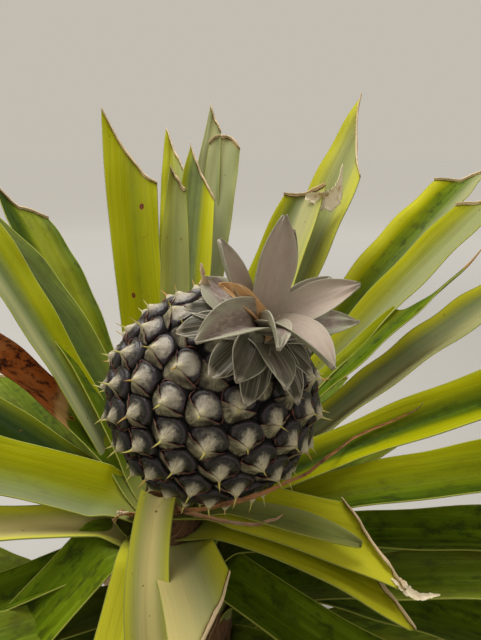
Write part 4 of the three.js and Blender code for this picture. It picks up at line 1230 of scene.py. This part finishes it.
def spine_shape(which, rings=8):
    """The spines: flat tapering horns with a flared foot along a quadratic curve, from the peak out along
    the normal, leaning a little to the fruit's base."""
    along = np.linspace(0, 1, rings)[None, :, None]
    turn = np.linspace(0, 2 * np.pi, SPINE_SIDES, endpoint=False)[None, None, :]
    chance = np.random.default_rng(SEED + SPINE_SEED)
    reach = chance.uniform(*SPINE_LENGTHS, len(which))[:, None, None]
    tilt = chance.uniform(-0.3, 0.3, len(which))[:, None, None]
    lean = chance.uniform(0.1, 0.55, len(which))[:, None, None]
    bend = chance.uniform(-0.5, 0.6, len(which))[:, None, None]
    taper = (1 - along) ** 0.8
    flare = 1 + 1.6 * ease(0.3, 0, along)
    x = tilt * reach * along ** 1.5 + SPINE_HALF_WIDTH * taper * flare * np.cos(turn)
    y = (SPINE_ROOT - reach * lean * (along - bend * along ** 2)
         + SPINE_HALF_DEPTH * taper * flare * np.sin(turn))
    height = SPINE_START + reach * along * 0.92 - 1.1 * ease(0.3, 0, along)
    shape = (len(which), rings, SPINE_SIDES)
    x, y, height = (np.broadcast_to(value, shape) for value in (x, y, height))
    points = on_fruit(which, x, y, height)
    faces = grid_quads(rings, SPINE_SIDES, closed=True)
    # Two quads close the foot.
    base = np.array([[0, 5, 4, 3], [0, 3, 2, 1]])
    count = (rings - 1) * SPINE_SIDES + 1
    faces = np.minimum(np.concatenate([faces, base]), count - 1)
    all_faces = (faces[None] + np.arange(len(which))[:, None, None] * count).reshape(-1, 4)
    shade = np.broadcast_to(chance.uniform(0, 1, len(which))[:, None, None], shape)
    points, edge, shade = (value.reshape((len(which), rings * SPINE_SIDES) + value.shape[3:])[:, :count]
                           for value in (points, np.broadcast_to(along, shape), shade))
    return from_fruit(points.reshape(-1, 3)), all_faces, {"edge": edge.ravel(), "gold": shade.ravel()}


PAPER_ROWS = 4
PAPER_SPOKES = 13
PAPER_REACH = 0.955
PAPER_THICKNESS = 0.32


def paper_shape(which, start, finish, lift, number):
    """Papery margins: thin walls that stand along part of each eye's outline, with a wavy upper edge that
    leans outwards and sinks away at both ends."""
    chance = np.random.default_rng(SEED + number)
    turn = np.linspace(0, 1, PAPER_SPOKES)[None, None, :]
    first = start + chance.uniform(-0.3, 0.3, len(which))[:, None, None]
    last = finish + chance.uniform(-0.3, 0.3, len(which))[:, None, None]
    angle = mix(first, last, turn)
    up = np.linspace(0, 1, PAPER_ROWS)[None, :, None]
    far = outline(which, angle[:, 0])[:, None, :] * PAPER_REACH
    wavy = 0.5 * np.sin(angle * 8 + 2 * which[:, None, None]) * up
    fade = np.sin(np.pi * turn) ** 0.7
    reach = far - 0.3 * up * fade + wavy * 0.5
    height = -0.6 + up * (lift * fade + wavy)
    shape = (len(which), PAPER_ROWS, PAPER_SPOKES)
    x = np.broadcast_to(reach * np.cos(angle), shape)
    y = np.broadcast_to(reach * np.sin(angle), shape)
    height = np.broadcast_to(height, shape)
    outer = on_fruit(which, x, y, height)
    thin = 1 - PAPER_THICKNESS / np.hypot(x, y)
    inner = on_fruit(which, x * thin, y * thin, height)
    edge = np.broadcast_to(up + 0 * angle, shape)
    points, faces, flat = many_shells(outer, inner, {"edge": edge})
    return from_fruit(points), faces[:, ::-1], flat


def core_shape(rings=28, spokes=48):
    """The fruit's core: an ellipsoid just over the bed, closed by fans at its poles."""
    polar = np.linspace(0, np.pi, rings)[:, None]
    turn = np.linspace(0, 2 * np.pi, spokes, endpoint=False)[None, :]
    way = np.stack([np.sin(polar) * np.cos(turn), np.sin(polar) * np.sin(turn),
                    np.cos(polar) + 0 * turn], -1)
    points = (way * BED).reshape(-1, 3)
    quads = grid_quads(rings, spokes, closed=True)[:, [0, 3, 2, 1]]
    top, middle, bottom = quads[:spokes], quads[spokes:-spokes], quads[-spokes:]
    top = np.stack([top[:, 0] * 0, top[:, 1], top[:, 2], top[:, 2]], -1)
    end = np.full(spokes, (rings - 1) * spokes)
    bottom = np.stack([bottom[:, 3], bottom[:, 0], end, end], -1)
    return from_fruit(points), np.concatenate([top, middle, bottom]), {}


add_piece("fruit_core", core_shape(), fruit_seam, ["fruit"])
add_piece("fruit_eyes", eye_shape(shown), fruit_skin, ["fruit"])
add_piece("fruit_bracts", bract_shape(shown), fruit_bract, ["fruit"])
add_piece("fruit_spines", spine_shape(shown), fruit_spine, ["fruit"])
papery = [
    paper_shape(shown[shown % 2 == 0], 2.1, 3.6, 2.8, 11),
    paper_shape(shown[shown % 5 == 0], -0.5, 0.6, 2.6, 12),
]
add_piece("fruit_papery_margins", join(papery), fruit_paper, ["fruit"])


# Crown, in the fruit's own frame: root is the height along its axis from the fruit's centre. On its leaves
# gold makes the finish pinker, and frost paints shade, a dark olive, on the lower leaves and the bracts
# under them.
CROWN_COLUMNS = "azimuth ring root rise rise_end length width".split()
CROWN_LEAVES = [
    (116, 5, 66, 52, 58, 47, 21, {"fold": 26, "gold": (0.8, 0.9, 0.8)}),
    (28, 5, 66, 54, 46, 43, 20, {"fold": 24, "gold": (0.8, 0.9, 0.8)}),
    (102, 7, 63, 52, 58, 43, 16, {"gold": (0.8, 0.8, 0.8)}),
    (54, 7, 62, 44, 34, 37, 15, {"gold": (0.8, 0.8, 0.8)}),
    (164, 6, 64, 34, 48, 41, 16, {"fold": 28, "gold": (0.8, 0.8, 0.8)}),
    (24, 8, 61, 28, 14, 42, 17, {}),
    (-84, 3, 69, 62, 2, 32, 14, {"fold": 44, "gold": (0.7, 0.2, 0.7)}),
    (-46, 3, 68, 58, 0, 42, 20, {"fold": 30, "gold": (0.3, 0.8, 1.0)}),
    (-172, 4, 68, 34, 20, 27, 12, {"fold": 44, "roll": -10, "dry_end": 40}),
    (150, 9, 60, 0, -10, 30, 25, {"fold": 10, "waist": 1.0}),
    (-132, 5, 66, 38, -26, 38, 25, {"fold": 46, "waist": 1.0, "gold": (0.4, 0.3, 0.1)}),
    (-66, 8, 60, 40, 0, 31, 17, {"frost": (0.7, 0.7, 0.7)}),
    (-98, 8, 60, 28, -10, 29, 18, {"frost": (0.8, 0.8, 0.8)}),
]

# Bracts that lie on the fruit round the crown: azimuth, length and width.
CROWN_BRACTS = [
    (-158, 31, 17), (-115, 26, 16), (-82, 29, 15), (-38, 30, 15), (-8, 26, 15), (32, 27, 18), (72, 24, 18),
    (108, 26, 19), (178, 29, 17),
]


def in_fruit(shape):
    """A shape of the fruit's own frame, moved to its place."""
    points, faces, fields = shape
    return from_fruit(points), faces, fields


CROWN_FORM = {"fold": 20, "waist": 0.92, "thickness": (1.4, 0.5), "wave": 0.5, "pleat": 0.0,
              "curl": (0.5, 10), "sheath": 9, "clasp": 8}
CROWN_SEED = 100
for index, (*values, more) in enumerate(CROWN_LEAVES):
    leaf = {**CROWN_FORM, **dict(zip(CROWN_COLUMNS, values)), **more}
    leaf["uncut"] = leaf["length"]
    name = f"crown_leaf_{index + 1}"
    shape = in_fruit(blade(leaf, CROWN_SEED + index, rows=44, columns=19))
    add_piece(name, shape, crown_leaf, [name])

# The crown's heart: a tight cone of its youngest leaves, each steeper and shorter than the last.
HEART_COUNT = 5
HEART_AZIMUTH = 100
HEART_SEED = 120
heart = []
for index in range(HEART_COUNT):
    leaf = {**CROWN_FORM, "ring": 2.2 - 0.3 * index, "azimuth": HEART_AZIMUTH + GOLDEN_DEGREES * index,
            "root": 64 + 0.5 * index, "rise": 78 + 2 * index, "rise_end": 84, "length": 8 - 0.8 * index,
            "width": 6, "fold": 36, "uncut": 8.5 - 0.8 * index, "clasp": 4}
    heart.append(in_fruit(blade(leaf, HEART_SEED + index, rows=26, columns=13)))
add_piece("crown_heart", join(heart), crown_leaf, ["crown_heart"])

# The bracts' full frost is painted shade from the crown leaves above them.
CROWN_BRACT_FORM = {**CROWN_FORM, "ring": 9, "root": 60.5, "rise": 4, "rise_end": -40, "waist": 1.0,
                    "fold": 12, "wave": 1.0, "gold": (0.1, 0.0, 0.2), "frost": (1, 1, 1)}
CROWN_BRACT_SEED = 130
bracts = []
for index, (azimuth, length, width) in enumerate(CROWN_BRACTS):
    leaf = {**CROWN_BRACT_FORM, "azimuth": azimuth, "length": length, "width": width, "uncut": length + 1}
    bracts.append(in_fruit(blade(leaf, CROWN_BRACT_SEED + index, rows=30, columns=15)))
add_piece("crown_bracts", join(bracts), crown_leaf)


# Dry strips and torn shreds. Their margins are made uneven by two sines, and a papery one's by a third:
# each is its share of the width and its turns between two places.
RAGGED_EDGES = ((0.12, 9), (0.08, 23), (0.06, 15))
STRIP_SHIFT = (13.0, 7.0)


def ribbon(places, widths, twists, number, paper, rows=60, columns=9, thickness=0.7, hollow=0.5):
    """A closed thin band along a smooth Catmull-Rom curve through the places. Its half width and its twist
    about the curve run evenly between the given ones, and its margins are raised by hollow * side^2 of the
    half width, with a small irregular wave. A papery band is more ragged."""
    places = np.array(places, float)
    chance = np.random.default_rng(SEED + number)
    ends = np.concatenate([[2 * places[0] - places[1]], places, [2 * places[-1] - places[-2]]])
    t = np.linspace(0, len(places) - 1, rows)
    span = np.minimum(t.astype(int), len(places) - 2)
    f = (t - span)[:, None]
    a, b, c, d = (ends[span + step] for step in range(4))
    centre = 0.5 * (2 * b + (c - a) * f + (2 * a - 5 * b + 4 * c - d) * f ** 2
                    + (3 * b - a - 3 * c + d) * f ** 3)
    along = unit(np.gradient(centre, axis=0))
    knots = np.arange(len(places))
    half = np.interp(t, knots, widths)[:, None] / 2
    twist = np.radians(np.interp(t, knots, twists))[:, None]
    level = unit(np.cross(UP, along))
    across = level * np.cos(twist) + np.cross(along, level) * np.sin(twist)
    upward = np.cross(along, across)
    side = np.linspace(-1, 1, columns)
    phase = chance.uniform(0, 2 * np.pi, 3)
    first, second, third = RAGGED_EDGES
    ragged = (1 + first[0] * np.sin(t * first[1] + phase[0]) + second[0] * np.sin(t * second[1] + phase[1])
              + third[0] * paper * np.sin(t * third[1] + phase[2]))
    wide = (half[:, 0] * ragged)[:, None] * side[None, :]
    lift = hollow * half * side[None, :] ** 2 + 0.15 * np.sin(3 * side[None, :] + t[:, None] * 7 + phase[2])
    surface = centre[:, None] + across[:, None] * wide[..., None] + upward[:, None] * lift[..., None]
    thin = thickness * mix(0.6, 1, 1 - side ** 2)[None, :, None]
    under = surface - upward[:, None] * thin
    run = np.concatenate([[0], np.cumsum(np.linalg.norm(np.diff(centre, axis=0), axis=1))])[:, None]
    own = np.stack([wide + STRIP_SHIFT[0] * number, run + 0 * wide,
                    STRIP_SHIFT[1] * number + 0 * wide], -1)
    rim = half * (1 - np.abs(side))[None, :]
    end = run[-1] - run + 0 * wide
    paper = paper + 0 * wide
    return shell(surface, under, {"blade": (own, own), "rim": (rim, rim), "tip": (end, end),
                                  "paper": (paper, paper)})


# The long strip comes out from the leaves' feet, runs under the fruit and lies along a leaf to the right.
# The short one lies under it. Each row is the places, the widths and the twists along it, its number for
# the random draws, and how papery it is.
DRY_STRIPS = {
    "long_dry_strip": (
        [(3, -10, 370), (15, -33, 391), (25, -47, 403.5), (37, -59, 416.5), (45.5, -61, 420.5),
         (57.5, -59, 424), (70, -53, 426), (82, -31, 414), (98, 3, 399), (112, 25.5, 391.5),
         (122.5, 33, 394.5), (135, 38, 397.8), (149, 42, 401.6), (160, 45.2, 405), (169.5, 48, 408.3),
         (173.7, 47.5, 414)],
        [2.6, 2.6, 2.3, 2.4, 2.2, 2.0, 2.1, 1.9, 1.8, 1.7, 1.6, 1.5, 1.3, 1.0, 0.8, 0.4],
        [60, 70, 80, 60, 40, 70, 90, 80, 60, 50, 40, 40, 50, 60, 60, 70], 1, 0),
    "short_dry_strip": (
        [(4, -18, 386), (13, -29, 387.5), (23, -32, 386.5), (35, -30.5, 381.5), (45, -29.5, 378.8),
         (55, -28.5, 377), (61, -30.5, 381.5), (66, -28, 380.4), (70.5, -25, 381.3)],
        [2.4, 2.4, 2.2, 2.2, 1.9, 2.0, 1.7, 1.4, 0.6], [70, 70, 50, 40, 60, 40, 80, 60, 60], 2, 0.3),
    "curled_dry_bract": (
        [(-16, -8, 366), (-20, -12, 368.5), (-23, -16.5, 374), (-26, -18.5, 375.5), (-29.4, -17, 371),
         (-31.5, -13, 364.5)],
        [7.0, 7.0, 6.0, 5.0, 4.0, 1.4], [20, 20, 10, 0, -10, -10], 3, 0.2),
    "curled_bract_fork": (
        [(-23, -16, 373.6), (-25.5, -19, 376.4), (-26.7, -22, 380.5)],
        [4.0, 2.6, 0.8], [40, 50, 60], 4, 1.0),
    "torn_flap": (
        [(101, 170, 544), (107, 167, 544), (113, 165, 542.5), (119, 164, 542), (124, 166, 546),
         (127.5, 169, 553), (130, 172, 561), (132, 175, 571)],
        [4.0, 8.0, 13.0, 17.0, 15.0, 9.0, 4.0, 0.8], [80, 85, 90, 90, 85, 80, 75, 70], 5, 1.0),
    "cut_tail": (
        [(128, -51, 361.5), (131.5, -55, 361.3), (134, -58, 360), (140, -59, 357), (147, -57, 355.5),
         (153, -56, 355)],
        [3.0, 5.0, 5.0, 3.6, 2.4, 0.6], [20, 20, 30, 40, 40, 50], 7, 0.8),
    "orange_fruit_bract": (
        [(30, -22, 510), (28.6, -25.5, 515), (28.2, -28, 520.7), (27.4, -28, 525.6), (26.8, -26, 529.4)],
        [5.0, 6.0, 4.6, 2.6, 0.8], [0, 0, 10, 20, 20], 6, 0.4),
}
strips = [ribbon(*strip) for strip in DRY_STRIPS.values()]
add_piece("dry_strips", join(strips), dry_bract)


# Stem: a husk of old leaf bases, with rings of scars, and stubs of bases round its foot.
STEM_RELIEF = 1.6
STEM_SPOKES = 96
STEM_RINGS = 150
STEM_SEED = 3
SCAR_SPACING = 15
SCAR_SPIRALS = 5
DIAMOND_COUNT = 4
DIAMOND_HEIGHT = 19
# Counts of the coarser and the finer fibres round the stem.
FIBRE_COUNTS = (31, 53)
FIBRE_SIZES = (0.35, 0.25)
FIBRE_WANDER = 21


def stem_shape():
    """The stem: its outline turned about the Z axis, sunk by a pattern of overlapping diamond scars and
    lengthwise fibres, and closed by fans at its two ends."""
    along = np.linspace(0, 1, STEM_RINGS)
    span = np.concatenate([[0], np.cumsum(np.linalg.norm(np.diff(STEM_OUTLINE, axis=0), axis=1))])
    radius = np.interp(along * span[-1], span, STEM_OUTLINE[:, 0])[:, None]
    height = np.interp(along * span[-1], span, STEM_OUTLINE[:, 1])[:, None]
    top = STEM_OUTLINE[-1, 1]
    turn = np.linspace(0, 2 * np.pi, STEM_SPOKES, endpoint=False)[None, :]
    phase = np.random.default_rng(SEED + STEM_SEED).uniform(0, 2 * np.pi, 4)
    scales = (height / SCAR_SPACING + turn * SCAR_SPIRALS / (2 * np.pi)) % 1
    diamonds = np.abs(np.sin(turn * DIAMOND_COUNT + height / DIAMOND_HEIGHT)) * 0.5
    fibres = (FIBRE_SIZES[0] * np.sin(turn * FIBRE_COUNTS[0] + phase[0] + np.sin(height / FIBRE_WANDER))
              + FIBRE_SIZES[1] * np.sin(turn * FIBRE_COUNTS[1] + phase[1]))
    sunk = STEM_RELIEF * (0.45 * scales + 0.3 * diamonds) + 0.35 + 0.3 * fibres
    sunk = sunk * ease(0, 4, height) * ease(top, top - 8, height) + 0.2
    plain = 0 * turn + 0 * height
    own = np.stack([radius * turn, height + plain, plain], -1)
    grid = np.stack([(radius - sunk) * np.cos(turn), (radius - sunk) * np.sin(turn), height + plain], -1)
    return capped_tube(grid, own, [[0, 0, 0], [0, 0, top]], [[0, 0, 0], [0, top, 0]])


add_piece("stem", stem_shape(), stem_husk, ["stem"])

# Stubs of old leaf bases in a spiral round the stem's foot, each broken off at its own length and slant.
STUB_COUNT = 16
STUB_AZIMUTH = 40
STUB_SEED = 140
STUB_FORM = {"rise": 62, "rise_end": 50, "width": 40, "fold": 16, "ring": 42, "waist": 0.95, "uncut": 160,
             "sheath": 17, "clasp": 22, "curl": (1, 20), "hollow": 4}
stubs = []
for index in range(STUB_COUNT):
    leaf = {
        **STUB_FORM, "azimuth": STUB_AZIMUTH + GOLDEN_DEGREES * index, "root": 20 + 3.4 * index,
        "length": 24 + 8 * ((index * 7) % 5) / 4,
        "cut_cw": 6 * (index % 3), "cut_acw": 5 * ((index + 1) % 3),
    }
    stubs.append(blade(leaf, STUB_SEED + index, rows=24, columns=15, dead=True))
add_piece("old_base_stubs", join(stubs), dead_leaf)


# Short pointed green bracts, the youngest leaves, that stand close round the stalk under the fruit. There
# are none between the two bare azimuths, where the dry strips come out.
STALK_BRACT_PLACES = 14
STALK_BRACT_AZIMUTH = 20
STALK_BRACT_SEED = 160
BARE_AZIMUTHS = (150, 330)
STALK_BRACT_FORM = {"fold": 20, "waist": 1.0, "sheath": 16, "gold": (0.0, 0, 0.0), "frost": (0.1, 0.1, 0.1),
                    "curl": (0.6, 15), "wave": 0.6, "pointed": 9}
inner = []
for index in range(STALK_BRACT_PLACES):
    azimuth = (STALK_BRACT_AZIMUTH + GOLDEN_DEGREES * index) % 360
    if BARE_AZIMUTHS[0] < azimuth < BARE_AZIMUTHS[1]:
        continue
    back = math.sin(math.radians(azimuth))
    length = 19 - 0.4 * index
    leaf = {
        **STALK_BRACT_FORM, "azimuth": azimuth, "root": 374 + 1.1 * index, "ring": 19 - 0.3 * index,
        "rise": 34 + 20 * back, "rise_end": 10 + 30 * back, "length": length, "uncut": length + 1,
        "width": 20 - 0.5 * index, "clasp": 18 - 0.5 * index,
    }
    inner.append(blade(leaf, STALK_BRACT_SEED + index, rows=34, columns=17))
add_piece("stalk_bracts", join(inner), living_leaf)


# Stalk: a short thick stem that rises straight and bends into the fruit.
STALK_RADIUS = 13
STALK_LENGTH = 30
STALK_RIBS = 9
STALK_RIB_DEPTH = 0.35
STALK_FLARE = 1.5
STALK_FOOT = np.array([0, 0, 386.5])
STALK_BEND = np.array([0, 0, 398.3])
STALK_HEAD = FRUIT_CENTRE - FRUIT_LEAN * (FRUIT_HALF_LENGTH - BED_DEPTH - 2)


def stalk_shape(rings=20, spokes=40):
    """The stalk: a circle carried along the quadratic curve foot, bend, head, with shallow ribs."""
    t = np.linspace(0, 1, rings)[:, None]
    centre = (1 - t) ** 2 * STALK_FOOT + 2 * t * (1 - t) * STALK_BEND + t ** 2 * STALK_HEAD
    way = unit(2 * (1 - t) * (STALK_BEND - STALK_FOOT) + 2 * t * (STALK_HEAD - STALK_BEND))
    side = unit(np.cross(way, [0, 1, 0]))
    front = np.cross(side, way)
    turn = np.linspace(0, 2 * np.pi, spokes, endpoint=False)[None, :, None]
    radius = (STALK_RADIUS - 0.4 + STALK_RIB_DEPTH * np.cos(turn * STALK_RIBS)
              + STALK_FLARE * ease(0.75, 1, t)[:, None])
    grid = (centre[:, None] + side[:, None] * np.sin(turn) * radius
            + front[:, None] * np.cos(turn) * radius)
    around = turn[..., 0]
    plain = 0 * t + 0 * around
    own = np.stack([around * STALK_RADIUS + plain, t * STALK_LENGTH + plain, plain], -1)
    return capped_tube(grid, own, [STALK_FOOT, STALK_HEAD], [[0, 0, 0], [0, STALK_LENGTH, 0]])


add_piece("fruit_stalk", stalk_shape(), stalk_skin, ["fruit_stalk"])


# Studio: a plain pale floor, a pale surround and large soft lights.
# The floor is a wide disc of rings. Far out, where the lights don't reach, it is paler and glows a little,
# as paper does under the lights of a larger room, so that it meets the surround with no edge.
FLOOR_RINGS = np.array([0.0, 0.5, 1.0, 1.6, 2.4, 3.6, 6.0, 12.0, 60.0])
FLOOR_SPOKES = 64
FAR_START = 0.6
FAR_END = 4.0
GLOW_STRENGTH = 0.172
GLOW_COLOUR = "#fffbef"
# The surround lights the plant softly, and the camera sees it as bright as the far floor.
SURROUND_COLOUR = "#ece5d8"
SURROUND_LIGHT = 0.5
SURROUND_SEEN = 0.645

floor_turn = np.linspace(0, 2 * np.pi, FLOOR_SPOKES, endpoint=False)
floor_radius = FLOOR_RINGS[:, None]
floor_points = np.stack([floor_radius * np.cos(floor_turn), floor_radius * np.sin(floor_turn),
                         0 * floor_radius * floor_turn], -1).reshape(-1, 3)
floor_quads = grid_quads(len(FLOOR_RINGS), FLOOR_SPOKES, closed=True)[:, ::-1]
floor_mesh = bpy.data.meshes.new("floor")
floor_mesh.from_pydata(floor_points.tolist(), [], floor_quads.tolist())
floor_far = floor_mesh.attributes.new("far", "FLOAT", "POINT")
farness = np.repeat(ease(FAR_START, FAR_END, FLOOR_RINGS), FLOOR_SPOKES)
floor_far.data.foreach_set("value", farness.astype(np.float32))
floor = bpy.data.objects.new("floor", floor_mesh)
bpy.context.scene.collection.objects.link(floor)
floor_mesh.materials.append(paint(
    "floor_matt_paper", "#bdbab4", {}, {"distant": ("far", 0.0, 1.0)}, [("#f0efee", "distant")],
    (0.95, []), [], shine=0.1))
floor_tree = floor_mesh.materials[0].node_tree
floor_shader = next(node for node in floor_tree.nodes if node.type == "BSDF_PRINCIPLED")
floor_shader.inputs["Emission Color"].default_value = colour(GLOW_COLOUR)
far = add_node(floor_tree, "ShaderNodeAttribute", {"attribute_name": "far"}, {})
glow = add_node(floor_tree, "ShaderNodeMath", {"operation": "MULTIPLY"}, {
    0: far.outputs["Fac"], 1: GLOW_STRENGTH})
floor_tree.links.new(glow.outputs[0], floor_shader.inputs["Emission Strength"])

world = bpy.data.worlds.new("surround")
bpy.context.scene.world = world
bpy.context.scene.view_settings.view_transform = "Standard"
world.use_nodes = True
background = world.node_tree.nodes["Background"]
background.inputs["Color"].default_value = colour(SURROUND_COLOUR)
ray = add_node(world.node_tree, "ShaderNodeLightPath", {}, {})
strength = add_node(world.node_tree, "ShaderNodeMix", {"data_type": "FLOAT"}, {
    0: ray.outputs["Is Camera Ray"], 2: SURROUND_LIGHT, 3: SURROUND_SEEN})
world.node_tree.links.new(strength.outputs[0], background.inputs["Strength"])

# Each light: place, the point it faces, size in metres and power in watts.
LIGHTS = {
    "roof_light": ((-0.5, 0.6, 2.3), (0.0, 0.0, 0.4), 1.5, 50),
    "side_light": ((-1.9, -0.5, 1.5), (0.0, 0.0, 0.45), 1.0, 4),
    "front_light": ((1.0, -1.8, 1.9), (0.0, 0.0, 0.45), 1.2, 6),
}
for name, (place, target, size, power) in LIGHTS.items():
    data = bpy.data.lights.new(name, "AREA")
    data.size = size
    data.energy = power
    light = bpy.data.objects.new(name, data)
    light.location = place
    way = np.array(place) - np.array(target)
    light.rotation_euler = (math.acos(way[2] / np.linalg.norm(way)), 0,
                            math.atan2(way[1], way[0]) + math.pi / 2)
    bpy.context.scene.collection.objects.link(light)
